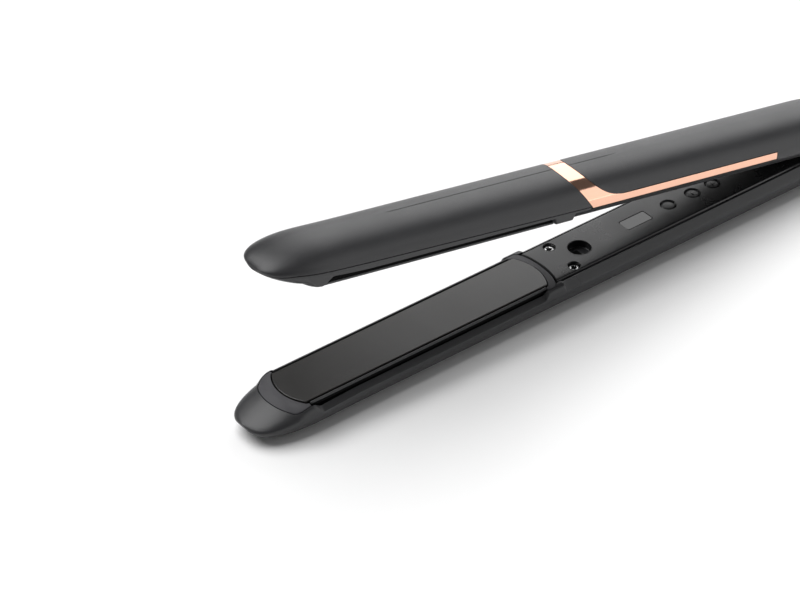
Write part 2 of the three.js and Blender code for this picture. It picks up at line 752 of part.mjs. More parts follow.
function swivelBarrel() {
  const barrel = cylinderX(SWIVEL_R, REAR_S - 6, REAR_S + 7, SWIVEL_Z);
  const collar = cylinderX(COLLAR_R, REAR_S - 6, REAR_S - 0.4, SWIVEL_Z);
  const inlet = cylinderX(INLET_R, REAR_S - 8, REAR_S + 4.5, SWIVEL_Z);
  return barrel.add(collar).subtract(inlet);
}

// Ring inside the rear wall that keeps the barrel in
function swivelClip() {
  const ring = cylinderX(CLIP_R, REAR_S + 5, REAR_S + 6, SWIVEL_Z);
  return ring.subtract(cylinderX(SWIVEL_R + 0.1, REAR_S, REAR_S + 12, SWIVEL_Z));
}

// ---------------------------------------------------------------- assembly

function plateModule(prefix) {
  const group = new THREE.Group();
  group.add(
    piece(prefix + "heated_plate", heatedPlate(), CERAMIC_PLATE),
    piece(prefix + "tip_cap", tipCap(), CAP_GREY),
    piece(prefix + "heel_cap", heelCap(), CAP_GREY),
    piece(prefix + "heater", heater(), HEATER_WHITE),
    piece(prefix + "heater_clamp", heaterClamp(), STEEL),
    piece(prefix + "thermal_fuse", thermalFuse(), STEEL),
    piece(prefix + "float_spring_front", floatSpring(225), STEEL),
    piece(prefix + "float_spring_rear", floatSpring(160), STEEL),
  );
  return group;
}

function lowerArm() {
  const group = new THREE.Group();
  group.rotation.x = Math.PI;
  group.add(
    piece("lower_shell", lowerShell(), CHARCOAL),
    piece("lower_plate_frame", plateFrame(), CHARCOAL),
    piece("lower_inner_cover", lowerInnerCover(), GLOSS_BLACK),
    piece("lower_cover_screw_left", coverScrew(SCREW_Y), STEEL),
    piece("lower_cover_screw_right", coverScrew(-SCREW_Y), STEEL),
    piece("hinge_pin", hingePin(), STEEL),
    piece("hinge_cap_left", hingeCap(1), GLOSS_BLACK),
    piece("hinge_cap_right", hingeCap(-1), GLOSS_BLACK),
    piece("hinge_spring", torsionSpring(), STEEL),
    piece("control_board", controlBoard(), BOARD_GREEN),
    piece("display_lens", displayLens(), LENS_DARK),
    piece("cord_swivel", swivelBarrel(), CHARCOAL),
    piece("swivel_clip", swivelClip(), STEEL),
    plateModule("lower_"),
  );
  const buttons = { power_button: POWER_S, minus_button: MINUS_S, plus_button: PLUS_S };
  for (const [name, s] of Object.entries(buttons)) {
    const key = piece(name, button(), GLOSS_BLACK);
    key.position.x = -s;
    group.add(key);
  }
  return group;
}

function upperArm() {
  const group = new THREE.Group();
  group.rotation.y = OPEN_ANGLE;
  group.add(
    piece("upper_front_shell", upperFrontShell(), CHARCOAL),
    piece("upper_rear_shell", upperRearShell(), CHARCOAL),
    piece("rose_gold_band", roseGoldBand(), ROSE_GOLD),
    piece("upper_plate_frame", plateFrame(), CHARCOAL),
    piece("upper_inner_cover", upperInnerCover(), GLOSS_BLACK),
    piece("alignment_tongue", alignmentTongue(), GLOSS_BLACK),
    piece("upper_cover_screw_left", coverScrew(SCREW_Y), STEEL),
    piece("upper_cover_screw_right", coverScrew(-SCREW_Y), STEEL),
    plateModule("upper_"),
  );
  return group;
}

const hinge = new THREE.Group();
hinge.position.set(HINGE_X, 0, BELLY_Z);
hinge.add(lowerArm(), upperArm());

const flatIron = new THREE.Group();
flatIron.add(hinge);

export default flatIron;
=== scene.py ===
"""Looks of the flat iron: fine casings, plates, caps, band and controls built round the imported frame.

Each arm is drawn in its own frame in millimetres: the hinge axis is the Y axis, the tip is towards -X,
and +Z points from the plates' contact plane to the crown. s is the distance from the hinge to the tip.
"""

import math
from collections import namedtuple

import bmesh
import bpy
from mathutils import Matrix, Vector

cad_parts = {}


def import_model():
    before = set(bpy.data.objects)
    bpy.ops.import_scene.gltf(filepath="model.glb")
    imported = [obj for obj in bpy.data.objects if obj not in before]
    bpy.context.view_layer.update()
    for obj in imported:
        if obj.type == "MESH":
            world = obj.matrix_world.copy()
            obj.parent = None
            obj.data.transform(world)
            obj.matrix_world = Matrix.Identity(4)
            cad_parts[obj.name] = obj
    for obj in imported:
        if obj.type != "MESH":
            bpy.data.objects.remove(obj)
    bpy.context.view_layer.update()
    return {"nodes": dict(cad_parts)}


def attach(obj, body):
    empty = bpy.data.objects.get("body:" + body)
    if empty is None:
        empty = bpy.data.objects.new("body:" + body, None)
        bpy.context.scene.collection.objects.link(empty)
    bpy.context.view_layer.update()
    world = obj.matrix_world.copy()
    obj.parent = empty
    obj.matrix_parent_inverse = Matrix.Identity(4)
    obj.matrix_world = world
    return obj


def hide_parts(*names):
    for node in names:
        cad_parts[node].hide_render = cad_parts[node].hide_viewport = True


# -------- dimensions, in millimetres

MM = 0.001
OPEN_ANGLE = math.radians(11.3)
HINGE_X = 124
GAP = 0.3

HALF_WIDTH = 13.9
WIDEST_Z = 4.2
CROWN_Z = 13.9
BELLY_Z = 13.5
UNDERSIDE_Z = 0.4
CROWN_POWER = 2.3
SQUARE_POWER = 6.5  # underside beside the caps
CHAMFER_POWER = 1.1  # nearly flat sides along the slots and the handle, cut off above their low line
SLOT_LOW_Z = -3.7
HANDLE_LOW_Z = -11
WALL = 1.9
REAR_S = -13
REAR_ROUND = 16
REAR_POWER = 2.2
REAR_PLAN, REAR_CROWN, REAR_NOSE = 0.62, 0.55, 0.7  # how much of each size is left at the rear face

TIP_S = 267.8
TIP_TOP_Z = 6.9
TIP_LOW_Z = 6.5
TIP_WIDEST_Z = 7.8
TIP_DRIFT_S = 225  # the widest line starts to rise here
TIP_DRIFT_POWER = 1.5
TIP_PLAN_S = 234.6
TIP_PLAN_POWER = 2.9
TIP_CROWN_S = 243
TIP_CROWN_POWER = 2.0
TIP_NOSE_S = 253.2
TIP_NOSE_POWER = 1.1
TIP_SOFT_S = 246.2  # the underside's square corners start to round here
TIP_ROUND_S = 253
TIP_ROUND_POWER = 2.0
TIP_SECTION_POWER = 2.2  # crown side of the section at the tip

FRAME_REAR_S = 122.8
PARTING = ((FRAME_REAR_S, 5.0), (225, 6.5), (257, 7.4), (TIP_S, 6.7))
JOINT_SLANT = 0.6
HANDLE_EDGE_Z = 1.0
EDGE_RISE_S = -7.5  # behind this the edge rises, so that the arms clear each other when open
EDGE_REAR_Z = 1.6
SEAMS = {"lower": 0.06, "upper": 0.3}  # gap between an outer casing and its plate frame

PLATE_TIP_S = 247.05
PLATE_HEEL_S = 137.2
PLATE_HALF_WIDTH = 10.15
PLATE_Z = 0.15
PLATE_THICKNESS = 1.6
TIP_SAG = 3.65
HEEL_SAG = 3.0
RAIL_IN_Y = 10.85
RAIL_OUT_Y = 11.55
RAIL_TIP_S = 245.9
RAIL_HEEL_S = 138.6
CARRIER_HALF_WIDTH = 11.2
CARRIER_Z = (1.0, 2.65)
RAIL_Z = (PLATE_Z + 0.05, CARRIER_Z[0] + 0.15)
LINING_IN_Y = 9.6
LINING_OUT_Y = 12.2
LINING_Z = (4.05, 4.3)
CAP_HALF_WIDTH = 12.3
CAP_CLEAR = 0.35
TIP_CAP_S = 256.65
TIP_CAP_SAG = 8.3
TIP_CAP_END_S = 246.3
HEEL_CAP_S = 131.8
HEEL_CAP_SAG = 4.0
HEEL_CAP_END_S = 138.3
CAP_DEPTH_Z = 3.6
WINDOW_HALF = 12.6
SLOT_TIP_S = 241.5
SLOT_TIP_RAMP = 4.2
SLOT_HEEL_S = 141
SLOT_HEEL_RAMP = 2.2
SLOT_Z = 2.7
SLOT_Y = 11.85
HEEL_STEP_S = 131.2
HEEL_STEP_RAMP = 1.0

BAND_FRONT_S = 130.3
BAND_REAR_S = 122.9
BAND_SLANT = 0.83
BAND_SWEEP = 17.9
BAND_SWEEP_POWER = 2.5
STRIP_TOP_Z = 7.1
STRIP_LOW_Z = 4.5
STRIP_END_S = 30
BAND_THICKNESS = 1.0

KNUCKLE_R = 6.6
EAR_IN_Y = 8.6
EAR_OUT_Y = 12.6
KNUCKLE_Y = 8.2
SPRING_BAY_Y = 4.2
CAP_R = 4.6
LUG_TOP_Z = 8.6

COVER_HALF_WIDTH = 10.4
COVER_GAP = 0.8
COVER_Z = 0.2
COVER_SIDE_Z = 0.35
COVER_THICKNESS = 2.2
COVER_REAR_S = 11
COVER_FRONT_S = 130.9
SCREW_S = 122
SCREW_Y = 7.2
SCREW_RECESS_R = 2.4
SCREW_HEAD_Z = 1.2
SCREW_SIDES = 48
STAR_R = 1.05
STAR_LOBE = 0.17
POCKET_S = 113.5
POCKET_R = 4.5
POCKET_Z = 3.2
BUTTON_R = 2.9
BUTTON_Z = 0.45
POWER_S = 70
MINUS_S = 58
PLUS_S = 48
LENS_S = 86
LENS_HALF = (6, 3)
SWIVEL_Z = 7
SWIVEL_R = 3.6
INLET_R = 2.95
COLLAR_R = 5.4

# Fine groove along the upper crown
GROOVE_Y = 2.4
GROOVE_DEPTH = 0.3
GROOVE_REAR_S = 99.6
GROOVE_TIP_S = 206

PLACES = {
    "lower": Matrix.Translation((HINGE_X, 0, BELLY_Z)) @ Matrix.Rotation(math.pi, 4, "X"),
    "upper": Matrix.Translation((HINGE_X, 0, BELLY_Z)) @ Matrix.Rotation(OPEN_ANGLE, 4, "Y"),
}


def clamp(value, low=0.0, high=1.0):
    return min(max(value, low), high)


def lerp(a, b, way):
    return a + (b - a) * way


def smooth(way):
    way = clamp(way)
    return way * way * (3 - 2 * way)


# -------- the arm's envelope


def closing(s, start, end, power):
    """1 before the start, falling to 0 at the end along a superellipse."""
    way = clamp((s - start) / (end - start))
    return max(1 - way**power, 0) ** (1 / power)


def eased(s, start, end):
    """0 before the start, 1 past the end."""
    return smooth((s - start) / (end - start))


def slot_share(s):
    """1 along the side slot, falling to 0 over the ramps at its ends."""
    rise = eased(s, SLOT_HEEL_S - SLOT_HEEL_RAMP, SLOT_HEEL_S)
    return rise * (1 - eased(s, SLOT_TIP_S, SLOT_TIP_S + SLOT_TIP_RAMP))


def handle_share(s):
    """1 along the handle, falling to 0 over the step at the heel of the plate."""
    return 1 - eased(s, HEEL_STEP_S - HEEL_STEP_RAMP / 2, HEEL_STEP_S + HEEL_STEP_RAMP / 2)


Station = namedtuple("Station", "half low widest top under crown")


def station(s):
    """Half-width, underside, widest line, crown and the two section powers at a distance from the hinge."""
    rear = closing(-s, -(REAR_S + REAR_ROUND), -REAR_S, REAR_POWER)
    plan = closing(s, TIP_PLAN_S, TIP_S, TIP_PLAN_POWER) * lerp(REAR_PLAN, 1, rear)
    crown_fall = closing(s, TIP_CROWN_S, TIP_S, TIP_CROWN_POWER) * lerp(REAR_CROWN, 1, rear)
    nose_rise = closing(s, TIP_NOSE_S, TIP_S, TIP_NOSE_POWER) * lerp(REAR_NOSE, 1, rear)
    top_end, low_end = (TIP_TOP_Z, TIP_LOW_Z) if s > TIP_PLAN_S else (SWIVEL_Z, SWIVEL_Z)
    top = top_end + (CROWN_Z - top_end) * crown_fall
    underside = lerp(lerp(UNDERSIDE_Z, SLOT_LOW_Z, slot_share(s)), HANDLE_LOW_Z, handle_share(s))
    low = low_end - (low_end - underside) * nose_rise
    drift = clamp((s - TIP_DRIFT_S) / (TIP_S - TIP_DRIFT_S)) ** TIP_DRIFT_POWER
    widest = clamp(lerp(WIDEST_Z, TIP_WIDEST_Z, drift), low, top)
    under = lerp(SQUARE_POWER, TIP_ROUND_POWER, eased(s, TIP_SOFT_S, TIP_ROUND_S))
    under = lerp(under, CHAMFER_POWER, max(slot_share(s), handle_share(s)))
    crown = lerp(CROWN_POWER, TIP_SECTION_POWER, drift)
    return Station(HALF_WIDTH * plan, low, widest, top, under, crown)


def signed_power(value, power):
    return math.copysign(abs(value) ** power, value)


def on_casing(s, turn, inset=0.0):
    """Point of the casing at a turn round its section: 0 at the +y side, a quarter turn at the crown."""
    at = station(s)
    crown = math.sin(turn) > 0
    power = 2 / (at.crown if crown else at.under)
    span = max((at.top - at.widest if crown else at.widest - at.low) - inset, 0.0)
    y = max(at.half - inset, 0.0) * signed_power(math.cos(turn), power)
    z = at.widest + span * signed_power(math.sin(turn), power)
    return Vector((-s, y, z))


def turn_at_height(s, z):
    at = station(s)
    if z >= at.widest:
        return math.asin(clamp((z - at.widest) / max(at.top - at.widest, 1e-6)) ** (at.crown / 2))
    return -math.asin(clamp((at.widest - z) / max(at.widest - at.low, 1e-6)) ** (at.under / 2))


def turn_at_width(s, y):
    """Turn on the underside where the casing is y from its middle plane."""
    at = station(s)
    return -math.acos(clamp(y / max(at.half, 1e-6)) ** (at.under / 2))


def parting_z(s):
    """Height of the line between the outer casing and the plate frame."""
    for (s0, z0), (s1, z1) in zip(PARTING, PARTING[1:]):
        if s <= s1 or s1 == TIP_S:
            return lerp(z0, z1, clamp((s - s0) / (s1 - s0)))


def handle_edge_z(s):
    """Height of the casing's edge along the handle."""
    return lerp(HANDLE_EDGE_Z, EDGE_REAR_Z, clamp((s - EDGE_RISE_S) / (REAR_S - EDGE_RISE_S)))


def joint_s(z):
    """Where the casing's slanting joint with the plate frame lies at a height."""
    return FRAME_REAR_S + JOINT_SLANT * (PARTING[0][1] - z)


def band_front_s(z):
    return BAND_FRONT_S - BAND_SLANT * (CROWN_Z - z)


def band_rear_s(z):
    way = clamp((z - STRIP_TOP_Z) / (CROWN_Z - STRIP_TOP_Z)) ** (1 / BAND_SWEEP_POWER)
    return BAND_REAR_S - BAND_SWEEP * (1 - way)


def underside_z(s, y):
    at = station(s)
    reach = clamp(abs(y) / max(at.half, 1e-6))
    return at.widest - (at.widest - at.low) * (1 - reach**at.under) ** (1 / at.under)


# -------- meshes

MERGE_DISTANCE = 0.004
SLIVER_LENGTH = 0.002


def spaced(low, high, count):
    return [lerp(low, high, k / count) for k in range(count + 1)]


def sine_spaced(low, high, count):
    """Values that crowd together towards the high end."""
    return [lerp(low, high, math.sin(k / count * math.pi / 2)) for k in range(count + 1)]


def thick_sheet(bm, outer, inner, keep=lambda i, j: True):
    """Closed mesh between two grids of points, walled along the edge of the cells that are kept."""
    tops = [[bm.verts.new(p) for p in row] for row in outer]
    backs = [[bm.verts.new(p) for p in row] for row in inner]
    edges = set()
    for i in range(len(outer) - 1):
        for j in range(len(outer[0]) - 1):
            if not keep(i, j):
                continue
            cell = [(i, j), (i, j + 1), (i + 1, j + 1), (i + 1, j)]
            bm.faces.new([tops[a][b] for a, b in cell])
            bm.faces.new([backs[a][b] for a, b in reversed(cell)])
            edges.update((cell[k], cell[(k + 1) % 4]) for k in range(4))
    for a, b in edges:
        if (b, a) not in edges:
            bm.faces.new([tops[b[0]][b[1]], tops[a[0]][a[1]], backs[a[0]][a[1]], backs[b[0]][b[1]]])
    tidy(bm)


def tidy(bm):
    """Merges points that meet, and drops faces that lie twice in the same place."""
    bmesh.ops.remove_doubles(bm, verts=bm.verts, dist=MERGE_DISTANCE)
    bmesh.ops.dissolve_degenerate(bm, edges=bm.edges, dist=SLIVER_LENGTH)
    bm.verts.index_update()
    found = {}
    for face in bm.faces:
        found.setdefault(frozenset(v.index for v in face.verts), []).append(face)
    twins = [face for faces in found.values() if len(faces) > 1 for face in faces]
    bmesh.ops.delete(bm, geom=twins, context="FACES_ONLY")
    loose = [v for v in bm.verts if not v.link_faces]
    bmesh.ops.delete(bm, geom=loose, context="VERTS")
    bmesh.ops.recalc_face_normals(bm, faces=bm.faces)


def ring_angles(sides):
    return [2 * math.pi * k / sides for k in range(sides)]


def join_rings(bm, rings, closed=False):
    """Faces from each ring to the next and, if closed, from the last to the first."""
    for low, high in zip(rings, rings[1:] + rings[:1] if closed else rings[1:]):
        for k in range(len(low)):
            after = (k + 1) % len(low)
            bm.faces.new([low[k], low[after], high[after], high[k]])


def prism(bm, outline, low, high, place):
    """An outline of [a, b] points raised from low to high along the third axis, as place puts them."""
    floor = [bm.verts.new(place(a, b, low)) for a, b in outline]
    roof = [bm.verts.new(place(a, b, high)) for a, b in outline]
    bm.faces.new(list(reversed(floor)))
    bm.faces.new(roof)
    join_rings(bm, [floor, roof])
    bmesh.ops.recalc_face_normals(bm, faces=bm.faces)


def lathe(bm, profile, place, sides=64, closed=False):
    """Turns a profile of [radius, height] points. Place takes x, y across the axis and the height."""
    rings = []
    for radius, height in profile:
        ring = []
        for angle in ring_angles(sides):
            ring.append(bm.verts.new(place(radius * math.cos(angle), radius * math.sin(angle), height)))
        rings.append(ring)
    join_rings(bm, rings, closed)
    if not closed:
        bm.faces.new(list(reversed(rings[0])))
        bm.faces.new(rings[-1])
    tidy(bm)


def bow(s, half, sag, direction, steps=40):
    """Points of an arc bowed outwards by sag, from one side to the other."""
    radius = (half * half + sag * sag) / (2 * sag)
    points = []
    for y in spaced(-half, half, steps):
        points.append((s + direction * (math.sqrt(radius * radius - y * y) - (radius - sag)), y))
    return points


def across(s, y, z):
    return Vector((-s, y, z))


def loose_object(name, bm):
    """Puts a finished mesh into the scene as an object."""
    mesh = bpy.data.meshes.new(name)
    bm.to_mesh(mesh)
    bm.free()
    obj = bpy.data.objects.new(name, mesh)
    bpy.context.scene.collection.objects.link(obj)
    return obj


def finish_piece(name, bm, arm, body, looks, slot, nodes=(), look=None, bevel=0.0, angle=35, segments=2):
    """Turns a mesh drawn in an arm's frame into a named piece that rides on a body."""
    piece = loose_object(name, bm)
    piece.data.transform(Matrix.Scale(MM, 4) @ PLACES[arm])
    for polygon in piece.data.polygons:
        polygon.use_smooth = True
    piece.data.materials.append(looks[look or slot])
    if bevel:
        rounding = piece.modifiers.new("edge_rounding", "BEVEL")
        rounding.width = bevel * MM
        rounding.segments = segments
        rounding.limit_method = "ANGLE"
        rounding.angle_limit = math.radians(angle)
    shading = piece.modifiers.new("face_shading", "WEIGHTED_NORMAL")
    shading.keep_sharp = True
    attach(piece, body)
    if nodes:
        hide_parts(*nodes)


# -------- materials

WORN_POINTINESS = (0.53, 0.62)  # edges start to look worn at the first, and are fully worn at the second


def node_maker(material):
    tree = material.node_tree

    def make(kind, **inputs):
        node = tree.nodes.new(kind)
        for key, value in inputs.items():
            if isinstance(value, bpy.types.NodeSocket):
                tree.links.new(value, node.inputs[key.replace("_", " ")])
            else:
                node.inputs[key.replace("_", " ")].default_value = value
        return node

    return make


def ranged(make, value, low, high, start=0.3, end=0.7):
    """Maps a value from start..end to low..high."""
    node = make("ShaderNodeMapRange", Value=value)
    limits = {"From Min": start, "From Max": end, "To Min": low, "To Max": high}
    for socket, limit in limits.items():
        node.inputs[socket].default_value = limit
    return node.outputs["Result"]


def look(name, color, roughness, metallic=0.0, specular=0.5, grain=0.0, grain_size=0.25, mottle=0.12,
         rough_swing=0.06, wear=0.25, brushed=None):
    """A procedural finish: fine grain in the relief, drifting colour and gloss, and lighter worn edges."""
    material = bpy.data.materials.new(name)
    material.use_nodes = True
    tree = material.node_tree
    shader = tree.nodes["Principled BSDF"]
    make = node_maker(material)
    place = make("ShaderNodeTexCoord").outputs["Object"]
    grain_place = place
    if brushed:
        stretch = make("ShaderNodeMapping", Vector=place)
        stretch.inputs["Scale"].default_value = brushed
        grain_place = stretch.outputs["Vector"]
    fine = make("ShaderNodeTexNoise", Vector=grain_place, Scale=1 / (grain_size * MM), Detail=3.0,
                Roughness=0.6)
    broad = make("ShaderNodeTexNoise", Vector=place, Scale=55.0, Detail=4.0, Roughness=0.55).outputs["Fac"]
    edge = ranged(make, make("ShaderNodeNewGeometry").outputs["Pointiness"], 0, wear, *WORN_POINTINESS)
    shade = tree.nodes.new("ShaderNodeVectorMath")
    shade.operation = "SCALE"
    shade.inputs[0].default_value = color
    tree.links.new(ranged(make, broad, 1 - mottle, 1 + mottle), shade.inputs["Scale"])
    mix = tree.nodes.new("ShaderNodeMix")
    mix.data_type = "RGBA"
    tree.links.new(edge, mix.inputs["Factor"])
    tree.links.new(shade.outputs["Vector"], mix.inputs["A"])
    mix.inputs["B"].default_value = (*(min(c * 2.2 + 0.03, 1) for c in color), 1)
    tree.links.new(mix.outputs["Result"], shader.inputs["Base Color"])
    gloss = ranged(make, broad, clamp(roughness - rough_swing), clamp(roughness + rough_swing))
    tree.links.new(gloss, shader.inputs["Roughness"])
    relief = make("ShaderNodeBump", Height=fine.outputs["Fac"], Strength=grain, Distance=0.1 * MM)
    tree.links.new(relief.outputs["Normal"], shader.inputs["Normal"])
    shader.inputs["Metallic"].default_value = metallic
    shader.inputs["Specular IOR Level"].default_value = specular
    return material


def make_looks():
    """The finishes by name: one for each slot, and a near-black one that paints the shade inside openings.
    """
    looks = {}

    def add(name, *values, **details):
        looks[name] = look(name, *values, **details)

    add("matte_charcoal", (0.026, 0.026, 0.028), 0.38, grain=0.35, grain_size=0.12, mottle=0.06,
        rough_swing=0.03, wear=0.2)
    add("satin_black", (0.012, 0.012, 0.013), 0.3, grain=0.15, rough_swing=0.05)
    add("button_black", (0.03, 0.03, 0.031), 0.42, grain=0.2)
    add("ceramic_plate", (0.022, 0.021, 0.02), 0.2, grain=0.03, mottle=0.05, rough_swing=0.02, wear=0.1)
    add("cap_grey", (0.042, 0.041, 0.046), 0.6, grain=0.5, grain_size=0.2)
    add("rose_gold", (0.88, 0.52, 0.38), 0.1, metallic=1.0, grain=0.04, mottle=0.03, rough_swing=0.03,
        wear=0.1)
    add("bright_screw", (0.6, 0.6, 0.6), 0.28, metallic=1.0, grain=0.1)
    add("spring_steel", (0.5, 0.5, 0.51), 0.32, metallic=1.0, grain=0.2, brushed=(1, 0.08, 1))
    add("heater_white", (0.68, 0.65, 0.57), 0.7, grain=0.6)
    add("board_green", (0.02, 0.12, 0.06), 0.4, grain=0.3)
    # near-black: painted shade for the insides of slots, gaps and recesses
    add("painted_shade_black", (0.002, 0.002, 0.002), 0.85, specular=0.1, grain=0.2, wear=0.0)
    add("lens_dark", (0.006, 0.007, 0.008), 0.06, specular=0.6, grain=0.01, rough_swing=0.02)
    return looks


# -------- casings

REAR_COLUMNS = list(reversed(sine_spaced(REAR_S + REAR_ROUND, REAR_S, 14)))
TIP_COLUMNS = sine_spaced(TIP_PLAN_S, TIP_S, 36)
END_FACE = (0.0, 0.35, 0.7)  # ways from the rear face's middle to its outline
SIDE_ROWS = 6
CROWN_ROWS = 22
GROOVE_TURNS = [
    math.acos((y / HALF_WIDTH) ** (CROWN_POWER / 2))
    for y in (3.4, GROOVE_Y + 0.3, GROOVE_Y + 0.2, GROOVE_Y, GROOVE_Y - 0.2, GROOVE_Y - 0.3, 1.4)
]
GROOVE_ROW = CROWN_ROWS + 3  # the row along the middle of the groove
GROOVE_END = 0.5  # length over which the groove runs out
WALL_REACH = 0.96  # of the casing's own half-width, at most
TIP_WALL_S = 244  # the wall thins in proportion to the section past here
TIP_WALL_RAMP = 8
TIP_WALL_SCALE = 0.86
NOSE_WALL_S = 258  # the wall thickens forwards past here
REAR_WALL_S = -5  # and backwards behind here


def wall_point(s, turn):
    """Inner point opposite a point of the casing: level with it below the widest line, inset above."""
    point = on_casing(s, turn)
    at = station(s)
    if math.sin(turn) > 0:
        sunk = on_casing(s, turn, WALL)
    else:
        reach = min(max(at.half - WALL, 0), WALL_REACH * abs(point.y), COVER_HALF_WIDTH + COVER_GAP)
        sunk = Vector((point.x, math.copysign(reach, point.y), point.z))
    core = Vector((-s, 0, at.widest))
    scaled = core + (point - core) * TIP_WALL_SCALE
    sunk = sunk.lerp(scaled, smooth((s - TIP_WALL_S) / TIP_WALL_RAMP))
    forward = clamp((s - NOSE_WALL_S) / (TIP_S - NOSE_WALL_S))
    back = clamp((REAR_WALL_S - s) / (REAR_WALL_S - REAR_S))
    sunk.x = -(s - WALL * forward + WALL * back)
    return sunk


def crown_turns(start, spread=1.0):
    """Turns from an edge on the +y side, over the crown with its groove, to the -y side."""
    first, last = GROOVE_TURNS[0], GROOVE_TURNS[-1]
    near = [lerp(start, first, (k / CROWN_ROWS) ** spread) for k in range(CROWN_ROWS)]
    far = [lerp(math.pi - start, last, (k / CROWN_ROWS) ** spread) for k in range(CROWN_ROWS)]
    return near + GROOVE_TURNS + list(reversed(far))


def engraved(s, row, middle_row):
    """Depth of the crown's groove at a row."""
    if row != middle_row:
        return 0.0
    inside = min(s - GROOVE_REAR_S, GROOVE_TIP_S - s)
    return GROOVE_DEPTH * clamp(inside / GROOVE_END)


def rear_end_points(turn, hole_r):
    """Outer and inner points on the flat rear face, from its middle or its hole outwards."""
    rim = on_casing(REAR_S, turn)
    centre = Vector((-REAR_S, 0, SWIVEL_Z))
    around = rim - centre
    middle = centre + around.normalized() * hole_r if around.length > hole_r else rim.copy()
    outer = [middle.lerp(rim, way) for way in END_FACE]
    inner = [p + Vector((-WALL, 0, 0)) for p in outer]
    return outer, inner


def shell_columns(turns_at, s_at, columns, row_count, hole_r, groove=False):
    """Grids of a casing piece. s_at(row, column) and turns_at(s, row) place each point."""
    outer, inner = [], []
    for i in range(row_count):
        line, back = [], []
        for j in range(columns):
            s = s_at(i, j)
            turn = turns_at(s, i)
            point = on_casing(s, turn)
            if groove:
                point.z -= engraved(s, i, groove)
            line.append(point)
            back.append(wall_point(s, turn))
        if hole_r is not None:
            face, face_back = rear_end_points(turns_at(REAR_S, i), hole_r)
            line = face + line
            back = face_back + back
        outer.append(line)
        inner.append(back)
    return outer, inner


def make_lower_shell(looks):
    """The lower casing in one piece, with its belly flat and the ears of the hinge inside."""
    rows = SIDE_ROWS + 2 * CROWN_ROWS + len(GROOVE_TURNS) + SIDE_ROWS
    last = rows - 1
    seam = SEAMS["lower"] / 2
    heights = spaced(HANDLE_EDGE_Z, WIDEST_Z, SIDE_ROWS - 2) + spaced(WIDEST_Z, PARTING[0][1] + seam, 2)[1:]

    def turns_at(s, i):
        if i < SIDE_ROWS:
            return turn_at_height(s, max(heights[i], handle_edge_z(s)))
        if i > last - SIDE_ROWS:
            return math.pi - turn_at_height(s, max(heights[last - i], handle_edge_z(s)))
        return crown_turns(turn_at_height(s, parting_z(s) + seam))[i - SIDE_ROWS]

    body = spaced(REAR_S + REAR_ROUND, FRAME_REAR_S, 14)[1:-1]
    front = spaced(FRAME_REAR_S, TIP_PLAN_S, 14)[1:-1]
    fixed = REAR_COLUMNS + body + [None] + front + TIP_COLUMNS
    joint = len(REAR_COLUMNS) + len(body)

    def s_at(i, j):
        if fixed[j] is not None:
            return fixed[j]
        side = min(i, last - i)
        return joint_s(heights[side]) if side < SIDE_ROWS else FRAME_REAR_S

    outer, inner = shell_columns(turns_at, s_at, len(fixed), rows, SWIVEL_R + 0.06)
    for line in outer + inner:
        for point in line:
            point.z = min(point.z, BELLY_Z)
    joint_column = joint + len(END_FACE)
    bm = bmesh.new()
    thick_sheet(bm, outer, inner, lambda i, j: j < joint_column or SIDE_ROWS <= i < last - SIDE_ROWS)
    add_lugs(bm, ((EAR_IN_Y, EAR_OUT_Y), (-EAR_OUT_Y, -EAR_IN_Y)))
    finish_piece("lower_casing", bm, "lower", "lower_arm", looks, "matte_charcoal", ["lower_shell"],
                 bevel=0.1)


def add_lugs(bm, spans):
    """Rounded lugs of the hinge, each a half disc on a foot, from one y to another."""
    arc = [(KNUCKLE_R * math.cos(a), -KNUCKLE_R * math.sin(a)) for a in spaced(0, math.pi, 24)]
    outline = arc + [(-KNUCKLE_R, LUG_TOP_Z), (KNUCKLE_R, LUG_TOP_Z)]
    for low, high in spans:
        part = bmesh.new()
        prism(part, outline, low, high, lambda s, z, y: Vector((-s, y, z)))
        mesh = bpy.data.meshes.new("lug")
        part.to_mesh(mesh)
        part.free()
        bm.from_mesh(mesh)
        bpy.data.meshes.remove(mesh)


def make_front_shell(looks):
    """Front half of the upper casing, from the band to the tip."""
    rows = 2 * CROWN_ROWS + len(GROOVE_TURNS)
    middle = spaced(0, 1, 16)[:-1]

    def turns_at(s, i):
        return crown_turns(turn_at_height(s, parting_z(s) + SEAMS["upper"] / 2))[i]

    def s_at(i, j):
        if j >= len(middle):
            return TIP_COLUMNS[j - len(middle)]
        start = FRAME_REAR_S
        for _ in range(4):
            start = band_front_s(on_casing(start, turns_at(start, i)).z) + GAP / 2
        return lerp(start, TIP_PLAN_S, middle[j])

    outer, inner = shell_columns(turns_at, s_at, len(middle) + len(TIP_COLUMNS), rows, None, GROOVE_ROW)
    bm = bmesh.new()
    thick_sheet(bm, outer, inner)
    finish_piece("upper_front_casing", bm, "upper", "upper_arm", looks, "matte_charcoal",
                 ["upper_front_shell"], bevel=0.18)


STRIP_ROWS = 4
STRIP_SPREAD = 1.5  # rows crowd together beside the strips
PLAIN_S = 60  # a station where the section is the handle's own


